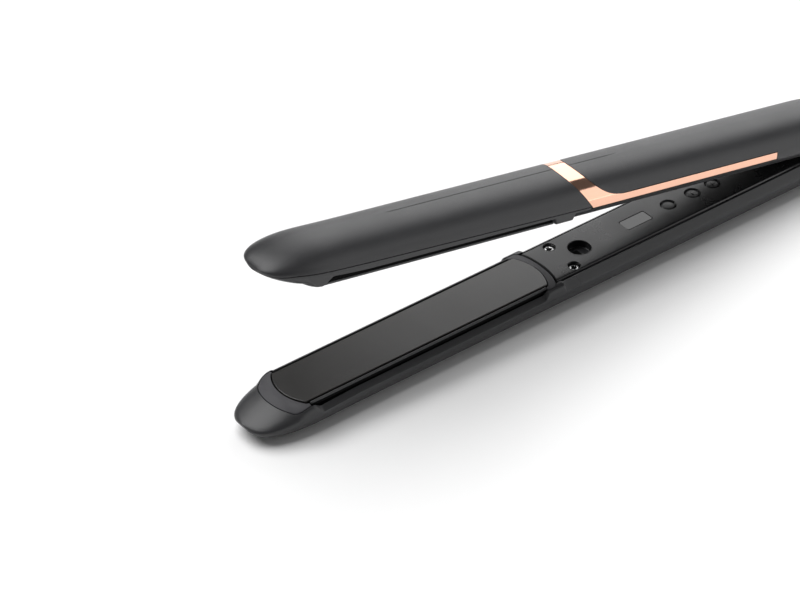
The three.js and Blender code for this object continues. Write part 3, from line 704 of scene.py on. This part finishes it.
def make_rear_shell(looks):
    """Rear half of the upper casing, stopping at the band's rear edge and round its side strips."""
    low_heights = spaced(HANDLE_EDGE_Z, STRIP_LOW_Z - GAP, SIDE_ROWS)
    strip_heights = spaced(STRIP_LOW_Z - GAP, STRIP_TOP_Z + GAP, STRIP_ROWS)[1:]
    side = low_heights + strip_heights[:-1]
    rows = 2 * len(side) + 2 * CROWN_ROWS + len(GROOVE_TURNS)
    last = rows - 1

    def turns_at(s, i):
        if i < len(side):
            return turn_at_height(s, max(side[i], handle_edge_z(s)))
        if last - i < len(side):
            return math.pi - turn_at_height(s, max(side[last - i], handle_edge_z(s)))
        return crown_turns(turn_at_height(s, strip_heights[-1]), STRIP_SPREAD)[i - len(side)]

    fore = spaced(REAR_S + REAR_ROUND, STRIP_END_S - GAP, 4)[1:]
    fixed = REAR_COLUMNS + fore
    beyond = spaced(0, 1, 16)[1:]

    def s_at(i, j):
        if j < len(fixed):
            return fixed[j]
        row = min(i, last - i)
        height = on_casing(PLAIN_S, turns_at(PLAIN_S, i)).z
        end = joint_s(height) if row < len(low_heights) else band_rear_s(height) - GAP
        return lerp(fixed[-1], end, beyond[j - len(fixed)])

    outer, inner = shell_columns(turns_at, s_at, len(fixed) + len(beyond), rows, 0.0, GROOVE_ROW + len(side))
    strip_column = len(fixed) - 1 + len(END_FACE)

    def keep(i, j):
        row = min(i, last - 1 - i)
        in_strip = len(low_heights) - 1 <= row < len(side)
        return j < strip_column or not in_strip

    bm = bmesh.new()
    thick_sheet(bm, outer, inner, keep)
    add_lugs(bm, ((SPRING_BAY_Y, KNUCKLE_Y), (-KNUCKLE_Y, -SPRING_BAY_Y)))
    finish_piece("upper_rear_casing", bm, "upper", "upper_arm", looks, "matte_charcoal",
                 ["upper_rear_shell"], bevel=0.18)


def make_band(looks):
    """Saddle over the crown that flows back into a strip along each side."""
    strip = spaced(STRIP_LOW_Z, STRIP_TOP_Z, STRIP_ROWS)[:-1]
    rows = 2 * len(strip) + 2 * CROWN_ROWS + len(GROOVE_TURNS)
    last = rows - 1
    sweep_s = BAND_REAR_S - BAND_SWEEP
    strip_columns = spaced(STRIP_END_S, sweep_s, 12)[:-1]
    saddle_columns = spaced(0, 1, 8)

    def turns_at(i):
        if i < len(strip):
            return turn_at_height(PLAIN_S, strip[i])
        if last - i < len(strip):
            return math.pi - turn_at_height(PLAIN_S, strip[last - i])
        return crown_turns(turn_at_height(PLAIN_S, STRIP_TOP_Z), STRIP_SPREAD)[i - len(strip)]

    outer, inner = [], []
    for i in range(rows):
        turn = turns_at(i)
        height = on_casing(PLAIN_S, turn).z
        rear = band_rear_s(height)
        line = strip_columns + [lerp(rear, band_front_s(height), way) for way in saddle_columns]
        outer.append([on_casing(s, turn) for s in line])
        inner.append([on_casing(s, turn, BAND_THICKNESS) for s in line])
        for point, above in zip(inner[-1], outer[-1]):
            if min(i, last - i) <= len(strip):
                point.z = above.z

    def keep(i, j):
        return j >= len(strip_columns) or min(i, last - 1 - i) < len(strip)

    bm = bmesh.new()
    thick_sheet(bm, outer, inner, keep)
    finish_piece("rose_gold_saddle", bm, "upper", "upper_arm", looks, "rose_gold", ["rose_gold_band"],
                 bevel=0.16)


# -------- plate frames

TOP_ROWS = 3
WALL_ROWS = 8
LEDGE_ROWS = 7
WINDOW_TIP_S = TIP_CAP_S + CAP_CLEAR
WINDOW_HEEL_S = HEEL_CAP_S - CAP_CLEAR
NOSE_START_S = TIP_CAP_S - TIP_CAP_SAG
FRAME_START_S = 125  # the section here is carried back to the frame's slanting rear edge
FRAME_THICKNESS = 2.0  # of the frame's ledges
FRAME_WALL = 1.4
FRAME_WALL_SHARE = 0.12  # of the half-width at most, near the nose
MIDDLE_Y = 0.003  # points this close to the middle plane lie on it
RAMP_WAYS = (0, 0.2, 0.4, 0.6, 0.8, 1)
RAMPS = (
    (HEEL_STEP_S - HEEL_STEP_RAMP / 2, HEEL_STEP_S + HEEL_STEP_RAMP / 2),
    (SLOT_HEEL_S - SLOT_HEEL_RAMP, SLOT_HEEL_S),
    (SLOT_TIP_S, SLOT_TIP_S + SLOT_TIP_RAMP),
)


def ledge_z(s):
    """Height that the frame's side walls are cut to: the handle's edge, or the slot's sill."""
    return max(UNDERSIDE_Z, HANDLE_EDGE_Z * handle_share(s), SLOT_Z * slot_share(s))


def window_y(s, apex_s, straight_s):
    """Half-width of the caps' window, which ends in half an ellipse."""
    way = clamp((s - apex_s) / (straight_s - apex_s))
    return WINDOW_HALF * math.sqrt(1 - (1 - way) ** 2)


def frame_inner_y(s):
    """Half-width of the opening in the frame: wide at the cover and caps, narrower along the slot."""
    beside = window_y(s, WINDOW_HEEL_S, HEEL_CAP_S + HEEL_CAP_SAG)
    return lerp(max(COVER_HALF_WIDTH + COVER_GAP, beside), SLOT_Y, slot_share(s))


def frame_rows(s, seam):
    """Turns down one side of the frame at a straight station: wall rows, then ledge rows."""
    start = turn_at_height(s, parting_z(s) - seam)
    end = turn_at_width(s, frame_inner_y(s))
    corner_z = max(ledge_z(s), on_casing(s, end).z + 0.3)
    corner = turn_at_height(s, corner_z)
    wall = spaced(start, 0, TOP_ROWS) + spaced(0, corner, WALL_ROWS - TOP_ROWS)[1:]
    return wall + spaced(corner, end, LEDGE_ROWS)[1:]


def frame_column(s, seam):
    """Points down one side of the frame, passing evenly from one section to the next along a ramp."""
    for start, end in RAMPS:
        if start < s < end:
            way = smooth((s - start) / (end - start))
            pairs = zip(frame_column(start, seam), frame_column(end, seam))
            return [Vector((-s, lerp(a.y, b.y, way), lerp(a.z, b.z, way))) for a, b in pairs]
    points = [on_casing(s, turn) for turn in frame_rows(s, seam)]
    return [Vector((point.x, point.y, max(point.z, ledge_z(s)))) for point in points]


def frame_stations():
    """Distances along the straight part of the frame, close together at its steps and ramps."""
    stations = [lerp(start, end, way) for start, end in RAMPS for way in RAMP_WAYS]
    stations += [126, 128, 129.5, 246.4, 247, 247.7] + spaced(132.5, 137, 9) + spaced(146, 236, 9)
    return sorted(stations) + [NOSE_START_S]


def frame_nose(ways, seam):
    """Columns from the straight part to the tip, beside the window and then to the middle plane."""
    stations = sine_spaced(NOSE_START_S, WINDOW_TIP_S, 18)[1:]
    stations += sine_spaced(WINDOW_TIP_S, TIP_S - 0.02, 24)[1:]
    columns = []
    for s in stations:
        first = turn_at_height(s, parting_z(s) - seam)
        final = turn_at_width(s, window_y(s, WINDOW_TIP_S, NOSE_START_S))
        columns.append([on_casing(s, lerp(first, final, way)) for way in ways])
    return columns


def side_of_frame(arm, mirror):
    """Outer and inner grids of half the plate frame, walls first and then the nose."""
    seam = SEAMS[arm] / 2
    stations = frame_stations()
    rear = []
    for turn in frame_rows(FRAME_START_S, seam):
        rear.append(joint_s(max(on_casing(FRAME_START_S, turn).z, HANDLE_EDGE_Z)) + 2 * seam)
    start = frame_column(FRAME_START_S, seam)
    columns = [[Vector((-s, point.y, point.z)) for s, point in zip(rear, start)]]
    columns += [frame_column(s, seam) for s in stations]
    turns = frame_rows(NOSE_START_S, seam)
    columns += frame_nose([(turn - turns[0]) / (turns[-1] - turns[0]) for turn in turns], seam)
    outer = [list(row) for row in zip(*columns)]
    inner = []
    for i, row in enumerate(outer):
        way = clamp(i / WALL_ROWS)
        line = []
        for point, rim in zip(row, outer[-1]):
            up = clamp(parting_z(-point.x) - seam - point.z, 0.0, FRAME_THICKNESS)
            narrow = min(FRAME_WALL, abs(point.y) * FRAME_WALL_SHARE)
            y = lerp(max(abs(point.y) - narrow, 0), abs(rim.y), way)
            line.append(Vector((point.x, y, point.z + up * way)))
        inner.append(line)
    if mirror:
        for row in outer + inner:
            for point in row:
                point.y = -point.y
    return outer, inner


def make_plate_frame(arm, looks):
    """The frame in two halves, joined along the nose without the walls between them."""
    bm = bmesh.new()
    for mirror in (False, True):
        thick_sheet(bm, *side_of_frame(arm, mirror))
    between_halves = [face for face in bm.faces if all(abs(v.co.y) < MIDDLE_Y for v in face.verts)]
    bmesh.ops.delete(bm, geom=between_halves, context="FACES_ONLY")
    tidy(bm)
    finish_piece(arm + "_plate_surround", bm, arm, arm + "_arm", looks, "matte_charcoal",
                 [arm + "_plate_frame"], bevel=0.06)


def rail_outline(low_y, high_y):
    """Plan of a strip as long as the plate's side rails."""
    return [(RAIL_HEEL_S, low_y), (RAIL_TIP_S, low_y), (RAIL_TIP_S, high_y), (RAIL_HEEL_S, high_y)]


def make_slot_lining(arm, looks):
    """Near-black strips inside the frame that close the view through its side slots, as painted shade in
    them.
    """
    bm = bmesh.new()
    for side in (-1, 1):
        prism(bm, rail_outline(side * LINING_IN_Y, side * LINING_OUT_Y), *LINING_Z, across)
    finish_piece(arm + "_slot_lining", bm, arm, arm + "_arm", looks, "satin_black", look="painted_shade_black")


# -------- plates and caps


def make_plate(arm, looks):
    """Glossy plate with both ends bowed."""
    bm = bmesh.new()
    outline = bow(PLATE_TIP_S, PLATE_HALF_WIDTH, TIP_SAG, 1)
    outline += list(reversed(bow(PLATE_HEEL_S, PLATE_HALF_WIDTH, HEEL_SAG, -1)))
    prism(bm, outline, PLATE_Z, PLATE_Z + PLATE_THICKNESS, across)
    finish_piece(arm + "_plate_face", bm, arm, arm + "_plate", looks, "ceramic_plate",
                 [arm + "_heated_plate"], bevel=0.25, angle=40, segments=3)


def make_carrier(arm, looks):
    """Side rails beside the plate, and the carrier that joins them under it, near-black as painted shade in
    the gap beside the plate.
    """
    bm = bmesh.new()
    for side in (-1, 1):
        prism(bm, rail_outline(side * RAIL_IN_Y, side * RAIL_OUT_Y), *RAIL_Z, across)
    finish_piece(arm + "_side_rails", bm, arm, arm + "_plate", looks, "matte_charcoal", bevel=0.26,
                 segments=3)
    bm = bmesh.new()
    prism(bm, rail_outline(-CARRIER_HALF_WIDTH, CARRIER_HALF_WIDTH), *CARRIER_Z, across)
    finish_piece(arm + "_plate_carrier", bm, arm, arm + "_plate", looks, "satin_black", look="painted_shade_black",
                 bevel=0.2)


CAP_SINK = 0.08  # below the casing's own surface
CAP_LOW_Z = PLATE_Z + 0.25
CAP_HIGH_Z = CAP_DEPTH_Z - 0.3
CAP_SHAPES = {
    "tip": (TIP_CAP_S, TIP_CAP_SAG, TIP_CAP_END_S, PLATE_TIP_S, TIP_SAG, 1),
    "heel": (HEEL_CAP_S, HEEL_CAP_SAG, HEEL_CAP_END_S, PLATE_HEEL_S, HEEL_SAG, -1),
}


def cap_lines(name, steps=48):
    """Outer and inner edges of a cap in plan: round the window, and round the plate's end."""
    apex_s, cap_sag, end_s, plate_s, plate_sag, direction = CAP_SHAPES[name]
    half = PLATE_HALF_WIDTH + CAP_CLEAR
    radius = (half * half + plate_sag * plate_sag) / (2 * plate_sag)
    outer, inner = [(end_s, -CAP_HALF_WIDTH)], [(end_s, -half - 0.5)]
    for turn in spaced(-math.pi / 2, math.pi / 2, steps):
        outer.append((apex_s - direction * cap_sag * (1 - math.cos(turn)), CAP_HALF_WIDTH * math.sin(turn)))
        y = half * math.sin(turn)
        bulge = math.sqrt(radius * radius - y * y) - (radius - plate_sag)
        inner.append((plate_s + direction * (bulge + CAP_CLEAR), y))
    return outer + [(end_s, CAP_HALF_WIDTH)], inner + [(end_s, half + 0.5)]


def make_cap(arm, looks, name):
    """Crescent between the plate's rounded end and the frame, falling away with the casing."""
    tops, backs = [], []
    for (s1, y1), (s0, y0) in zip(*cap_lines(name)):
        line = []
        for way in spaced(0, 1, 8):
            s, y = lerp(s0, s1, way), lerp(y0, y1, way)
            line.append(across(s, y, clamp(underside_z(s, y) + CAP_SINK, CAP_LOW_Z, CAP_HIGH_Z)))
        tops.append(line)
        backs.append([Vector((point.x, point.y, CAP_DEPTH_Z)) for point in line])
    bm = bmesh.new()
    thick_sheet(bm, tops, backs)
    finish_piece(arm + "_" + name + "_crescent", bm, arm, arm + "_plate", looks, "cap_grey",
                 [arm + "_" + name + "_cap"], bevel=0.2)


# -------- handle covers and controls

CUT_LOW_Z, CUT_HIGH_Z = -3, 9  # cutters reach right through a cover
COVER_EDGE = 0.5  # width of the rolled edge
COVER_EDGE_FALL = 0.4
LENS_CLEAR = 0.15
TONGUE_HOLE_HALF = (3.1, 1.2)
CUP_SIDES = 56
CUP_CORNER = 0.3
CUP_FLOOR = 0.5
COVER_WAYS = (-1, -0.975, -0.93, -0.87, -0.78, -0.67, -0.55, -0.42, -0.28, -0.14)


def cover_z(y):
    """Height of the cover, which curls up near its sides."""
    return lerp(COVER_Z, COVER_SIDE_Z, clamp(abs(y) / COVER_HALF_WIDTH) ** 4)


def cut(piece, cutters):
    """Cuts holes in a piece, and keeps the result as its mesh."""
    for cutter in cutters:
        modifier = piece.modifiers.new("hole", "BOOLEAN")
        modifier.operation = "DIFFERENCE"
        modifier.solver = "EXACT"
        modifier.object = cutter
    bpy.context.view_layer.update()
    graph = bpy.context.evaluated_depsgraph_get()
    made = bpy.data.meshes.new_from_object(piece.evaluated_get(graph))
    piece.modifiers.clear()
    piece.data = made
    for cutter in cutters:
        bpy.data.objects.remove(cutter)


def round_cutter(s, y, radius):
    bm = bmesh.new()
    outline = [(s + radius * math.cos(a), y + radius * math.sin(a)) for a in spaced(0, 2 * math.pi, 48)[:-1]]
    prism(bm, outline, CUT_LOW_Z, CUT_HIGH_Z, across)
    return loose_object("cutter", bm)


def rounded_box_outline(s, y, half_s, half_y, corner, steps=6):
    """Outline of a box with round corners."""
    points = []
    for k, (a, b) in enumerate(((1, 1), (-1, 1), (-1, -1), (1, -1))):
        for angle in spaced(k * math.pi / 2, (k + 1) * math.pi / 2, steps):
            points.append((s + a * (half_s - corner) + corner * math.cos(angle),
                           y + b * (half_y - corner) + corner * math.sin(angle)))
    return points


def box_cutter(s, half_s, half_y, corner):
    bm = bmesh.new()
    prism(bm, rounded_box_outline(s, 0, half_s, half_y, corner), CUT_LOW_Z, CUT_HIGH_Z, across)
    return loose_object("cutter", bm)


def add_cup(bm, s, y, radius, floor_z, hole_r=0.01, lip=0.35):
    """A round recess let into the cover, with a rolled lip that follows the cover's curve."""
    wall_r = radius - 0.06
    profile = [(radius + lip, -0.01, True), (radius + lip * 0.6, -0.05, True), (radius + 0.08, -0.03, True),
               (radius - 0.03, 0.08, True), (wall_r, 0.25, True)]
    for angle in spaced(0, math.pi / 2, 4):
        inwards = CUP_CORNER * (1 - math.cos(angle))
        profile.append((wall_r - inwards, floor_z - CUP_CORNER + CUP_CORNER * math.sin(angle), False))
    under_z = floor_z + CUP_FLOOR
    outside_r = radius + 0.6
    profile += [(hole_r, floor_z, False), (hole_r, under_z, False), (outside_r, under_z, False),
                (outside_r, 0.6, True)]
    rings = []
    for r, z, follows in profile:
        ring = []
        for angle in ring_angles(CUP_SIDES):
            at_y = y + r * math.sin(angle)
            height = z + cover_z(at_y) if follows else z
            ring.append(bm.verts.new(across(s + r * math.cos(angle), at_y, height)))
        rings.append(ring)
    join_rings(bm, rings, closed=True)


def make_cover(arm, looks):
    """Crowned inner cover of the handle with its bowed front edge, holes and recesses."""
    ys = [COVER_HALF_WIDTH * way for way in COVER_WAYS]
    ys += [0] + [-y for y in reversed(ys)]
    tops, backs = [], []
    for y in ys:
        front = COVER_FRONT_S + HEEL_CAP_SAG * (1 - math.sqrt(1 - (y / WINDOW_HALF) ** 2))
        line = [COVER_REAR_S, front]
        edge = COVER_EDGE_FALL * clamp((abs(y) - COVER_HALF_WIDTH + COVER_EDGE) / COVER_EDGE) ** 2
        tops.append([across(s, y, cover_z(y) + edge) for s in line])
        backs.append([across(s, y, COVER_SIDE_Z + COVER_THICKNESS) for s in line])
    bm = bmesh.new()
    thick_sheet(bm, tops, backs)
    cover = loose_object("cover", bm)
    cutters = [round_cutter(SCREW_S, y, SCREW_RECESS_R) for y in (-SCREW_Y, SCREW_Y)]
    if arm == "lower":
        cutters.append(round_cutter(POCKET_S, 0, POCKET_R))
        cutters += [round_cutter(s, 0, BUTTON_R + GAP) for s in (POWER_S, MINUS_S, PLUS_S)]
        cutters.append(box_cutter(LENS_S, LENS_HALF[0] + LENS_CLEAR, LENS_HALF[1] + LENS_CLEAR, 0.8))
    else:
        cutters.append(box_cutter(POCKET_S, *TONGUE_HOLE_HALF, 0.3))
    cut(cover, cutters)
    bm = bmesh.new()
    bm.from_mesh(cover.data)
    bpy.data.objects.remove(cover)
    for y in (-SCREW_Y, SCREW_Y):
        add_cup(bm, SCREW_S, y, SCREW_RECESS_R, SCREW_HEAD_Z + 0.7, 1.5)
    if arm == "lower":
        add_cup(bm, POCKET_S, 0, POCKET_R, POCKET_Z, lip=0.45)
    bmesh.ops.recalc_face_normals(bm, faces=bm.faces)
    finish_piece(arm + "_handle_cover", bm, arm, arm + "_arm", looks, "satin_black", [arm + "_inner_cover"],
                 bevel=0.14, angle=40)


def make_pocket_slot(looks):
    """Near-black slot in the floor of the lower pocket, which the upper arm's tongue enters, as painted
    shade in its depth.
    """
    bm = bmesh.new()
    prism(bm, rounded_box_outline(POCKET_S + 1.3, 0, 2.1, 2.4, 0.5), POCKET_Z - 0.02, POCKET_Z + 0.3, across)
    finish_piece("pocket_slot_lining", bm, "lower", "lower_arm", looks, "satin_black", look="painted_shade_black")


def make_tongue(looks):
    """Blade on a foot that drops into the lower pocket when the arms shut."""
    side = [(-2.8, 4.6), (-2.8, -1.2), (-1.6, -2.4), (1.6, -2.4), (2.8, -1.2), (2.8, 4.6)]
    bm = bmesh.new()
    prism(bm, [(POCKET_S + s, z) for s, z in side], -0.9, 0.9, lambda s, z, y: Vector((-s, y, z)))
    foot = rounded_box_outline(POCKET_S, 0, 5, 3, 0.6)
    prism(bm, foot, COVER_SIDE_Z + COVER_THICKNESS + GAP, 5.6, across)
    finish_piece("alignment_blade", bm, "upper", "upper_arm", looks, "satin_black", ["alignment_tongue"],
                 bevel=0.25)


def make_screw(arm, looks, side, name):
    """Pan-head screw with a six-lobed recess, with a near-black disc at its bottom as painted shade. A
    radius of None follows the lobes.
    """
    bm = bmesh.new()
    head = SCREW_RECESS_R - GAP
    y = side * SCREW_Y

    def place(a, b, z):
        return across(SCREW_S + a, y + b, z)

    rings = [(None, SCREW_HEAD_Z + 0.9), (None, SCREW_HEAD_Z + 0.06), (1.35, SCREW_HEAD_Z),
             (head - 0.4, SCREW_HEAD_Z + 0.03), (head - 0.08, SCREW_HEAD_Z + 0.18),
             (head, SCREW_HEAD_Z + 0.4), (head, SCREW_HEAD_Z + 0.65), (1.2, SCREW_HEAD_Z + 0.7), (1.2, 8.6)]
    made = []
    for radius, z in rings:
        ring = []
        for angle in ring_angles(SCREW_SIDES):
            r = STAR_R + STAR_LOBE * math.cos(6 * angle) if radius is None else radius
            ring.append(bm.verts.new(place(r * math.cos(angle), r * math.sin(angle), z)))
        made.append(ring)
    join_rings(bm, made)
    bm.faces.new(made[0])
    bm.faces.new(made[-1])
    bmesh.ops.recalc_face_normals(bm, faces=bm.faces)
    finish_piece(arm + "_star_screw_" + name, bm, arm, arm + "_arm", looks, "bright_screw",
                 [arm + "_cover_screw_" + name], bevel=0.05, angle=50)
    well = bmesh.new()
    lathe(well, [(1.3, SCREW_HEAD_Z + 0.2), (1.3, SCREW_HEAD_Z + 0.35)], place, 32)
    finish_piece(arm + "_screw_well_" + name, well, arm, arm + "_arm", looks, "satin_black",
                 look="painted_shade_black")


def make_button(looks, s, name, marks):
    """Domed key with a flange under the cover and a small raised mark."""
    dome = [(0.01, BUTTON_Z), (1.2, BUTTON_Z + 0.02), (2.1, BUTTON_Z + 0.1), (2.6, BUTTON_Z + 0.26),
            (2.82, BUTTON_Z + 0.5), (BUTTON_R, BUTTON_Z + 0.8), (BUTTON_R, 4.2),
            (BUTTON_R + 0.7, 4.25), (BUTTON_R + 0.7, 4.9), (0.01, 4.9)]
    bm = bmesh.new()
    lathe(bm, dome, lambda a, b, z: across(s + a, b, z))
    for half_s, half_y in marks:
        prism(bm, rounded_box_outline(s, 0, half_s, half_y, 0.12), BUTTON_Z - 0.12, BUTTON_Z + 0.3, across)
    finish_piece(name + "_key", bm, "lower", name + "_button", looks, "button_black", [name + "_button"],
                 bevel=0.06)


def make_lens(looks):
    """Dark window of the display."""
    bm = bmesh.new()
    prism(bm, rounded_box_outline(LENS_S, 0, LENS_HALF[0], LENS_HALF[1], 0.7), COVER_Z + 0.12, 4.6, across)
    finish_piece("display_window", bm, "lower", "lower_arm", looks, "lens_dark", ["display_lens"],
                 bevel=0.3, segments=3)


def make_hinge_caps(looks):
    """Stepped discs over both ends of the hinge pin."""
    low, high = EAR_OUT_Y + GAP, HALF_WIDTH
    profile = [(0.01, low), (CAP_R, low), (CAP_R, high - 0.35), (CAP_R - 0.12, high - 0.12),
               (CAP_R - 0.4, high), (CAP_R - 1.3, high), (CAP_R - 1.5, high - 0.2), (0.01, high - 0.28)]
    for side, name in ((1, "left"), (-1, "right")):
        bm = bmesh.new()
        lathe(bm, profile, lambda a, b, h: Vector((a, side * h, b)))
        finish_piece("hinge_disc_" + name, bm, "lower", "lower_arm", looks, "satin_black",
                     ["hinge_cap_" + name])


def make_swivel(looks):
    """Turning cord inlet: barrel, ribbed collar and open mouth."""
    front, rear = REAR_S - 0.4, REAR_S - 6
    barrel_end = REAR_S + 7
    profile = [(INLET_R, rear + 0.28), (INLET_R + 0.3, rear), (COLLAR_R - 1.0, rear),
               (COLLAR_R - 0.6, rear + 0.15)]
    for k in range(4):
        rib_r = COLLAR_R + 0.06 * k
        groove = rear + 0.9 + k * 1.05
        profile += [(rib_r - 0.35, groove), (rib_r - 0.6, groove + 0.12), (rib_r - 0.6, groove + 0.4),
                    (rib_r - 0.32, groove + 0.52)]
    profile += [(COLLAR_R, front - 0.5), (COLLAR_R, front - 0.15), (COLLAR_R - 0.15, front),
                (SWIVEL_R, front), (SWIVEL_R, barrel_end), (INLET_R, barrel_end)]
    bm = bmesh.new()
    lathe(bm, profile, lambda a, b, s: across(s, a, SWIVEL_Z + b), closed=True)
    finish_piece("cord_inlet_swivel", bm, "lower", "cord_swivel", looks, "matte_charcoal", ["cord_swivel"])


# -------- works kept from the frame


def paint_kept_nodes(frame, looks):
    """Gives the works that are shown as packed their own finishes."""
    kept = {
        "hinge_pin": "spring_steel", "hinge_spring": "spring_steel", "swivel_clip": "spring_steel",
        "control_board": "board_green",
    }
    for arm in ("lower", "upper"):
        kept[arm + "_float_spring_front"] = "spring_steel"
        kept[arm + "_float_spring_rear"] = "spring_steel"
        kept[arm + "_heater"] = "heater_white"
        kept[arm + "_heater_clamp"] = "spring_steel"
        kept[arm + "_thermal_fuse"] = "spring_steel"
    for name, finish in kept.items():
        node = frame["nodes"][name]
        node.data.materials.clear()
        node.data.materials.append(looks[finish])


# -------- studio, in metres

FLOOR_Z = -0.0003
SUN_STRENGTH = 3.2
SUN_SPREAD = math.radians(60)
SUN_ELEVATION = math.radians(66)
SUN_AZIMUTH = math.radians(120)
WORLD_STRENGTH = 0.1
SOFT_BOXES = (  # name, azimuth, distance, sideways shift, width, low edge, high edge, radiance
    ("rear_box", math.radians(38), 1.2, 0.02, 0.8, 0.1, 1.06, 2.1),
    ("right_box", math.radians(-38), 1.2, 0.12, 1.2, 0, 0.95, 1.2),
    ("left_box", math.radians(170), 1.3, 0, 1.2, 0.1, 0.9, 0.2),
)
CAMERA_TARGET = Vector((-0.056, 0, 0.0135))
CAMERA_AZIMUTH = math.radians(-38.28)
CAMERA_ELEVATION = math.radians(37.653)
CAMERA_DISTANCE = 1.4297
CAMERA_LENS = 178
CAMERA_SHIFT = (-0.0475, 0.0189)


def make_floor():
    """Large white floor just under the lower arm."""
    bm = bmesh.new()
    bmesh.ops.create_grid(bm, x_segments=4, y_segments=4, size=6)
    floor = loose_object("floor", bm)
    floor.location.z = FLOOR_Z
    material = bpy.data.materials.new("floor_white")
    material.use_nodes = True
    shader = material.node_tree.nodes["Principled BSDF"]
    shader.inputs["Base Color"].default_value = (0.93, 0.93, 0.93, 1)
    shader.inputs["Roughness"].default_value = 0.9
    shader.inputs["Specular IOR Level"].default_value = 0.1
    floor.data.materials.append(material)


def panel(name, azimuth, distance, shift, width, low, high, radiance):
    """An upright soft box that faces the object, from low to high, moved sideways by shift."""
    lamp = bpy.data.lights.new(name, "AREA")
    lamp.shape = "RECTANGLE"
    lamp.size, lamp.size_y = width, high - low
    lamp.energy = radiance * math.pi * width * (high - low)
    out = Vector((math.cos(azimuth), math.sin(azimuth), 0))
    side = Vector((-out.y, out.x, 0))
    obj = bpy.data.objects.new(name, lamp)
    obj.location = out * distance + side * shift + Vector((0, 0, (low + high) / 2))
    obj.rotation_euler = (-out).to_track_quat("-Z", "Y").to_euler()
    obj.visible_camera = False
    bpy.context.scene.collection.objects.link(obj)


def overhead_sun():
    """Broad soft light from above, a little behind and to the left."""
    lamp = bpy.data.lights.new("overhead", "SUN")
    lamp.energy = SUN_STRENGTH
    lamp.angle = SUN_SPREAD
    obj = bpy.data.objects.new("overhead", lamp)
    flat = math.cos(SUN_ELEVATION)
    towards = Vector((flat * math.cos(SUN_AZIMUTH), flat * math.sin(SUN_AZIMUTH), math.sin(SUN_ELEVATION)))
    obj.rotation_euler = (-towards).to_track_quat("-Z", "Y").to_euler()
    bpy.context.scene.collection.objects.link(obj)


def make_lights():
    world = bpy.data.worlds.new("studio")
    world.use_nodes = True
    world.node_tree.nodes["Background"].inputs["Color"].default_value = (1, 1, 1, 1)
    world.node_tree.nodes["Background"].inputs["Strength"].default_value = WORLD_STRENGTH
    bpy.context.scene.world = world
    overhead_sun()
    for box in SOFT_BOXES:
        panel(*box)


def make_camera():
    camera = bpy.data.objects.new("camera", bpy.data.cameras.new("camera"))
    flat = math.cos(CAMERA_ELEVATION)
    back = Vector((0, 0, math.sin(CAMERA_ELEVATION)))
    back += flat * Vector((math.sin(CAMERA_AZIMUTH), -math.cos(CAMERA_AZIMUTH), 0))
    camera.location = CAMERA_TARGET + back * CAMERA_DISTANCE
    camera.rotation_euler = (-back).to_track_quat("-Z", "Y").to_euler()
    camera.data.lens = CAMERA_LENS
    camera.data.sensor_width = 36
    camera.data.shift_x, camera.data.shift_y = CAMERA_SHIFT
    camera.data.clip_end = 50
    bpy.context.scene.collection.objects.link(camera)
    bpy.context.scene.camera = camera


def main():
    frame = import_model()
    looks = make_looks()
    make_lower_shell(looks)
    make_front_shell(looks)
    make_rear_shell(looks)
    make_band(looks)
    for arm in ("lower", "upper"):
        make_plate_frame(arm, looks)
        make_plate(arm, looks)
        make_carrier(arm, looks)
        make_slot_lining(arm, looks)
        make_cap(arm, looks, "tip")
        make_cap(arm, looks, "heel")
        make_cover(arm, looks)
        make_screw(arm, looks, 1, "left")
        make_screw(arm, looks, -1, "right")
    make_pocket_slot(looks)
    make_tongue(looks)
    make_button(looks, POWER_S, "power", ())
    make_button(looks, MINUS_S, "minus", ((0.25, 0.9),))
    make_button(looks, PLUS_S, "plus", ((0.25, 0.9), (0.9, 0.25)))
    make_lens(looks)
    make_hinge_caps(looks)
    make_swivel(looks)
    paint_kept_nodes(frame, looks)
    make_floor()
    make_lights()
    make_camera()
    bpy.context.scene.view_settings.view_transform = "Standard"


main()
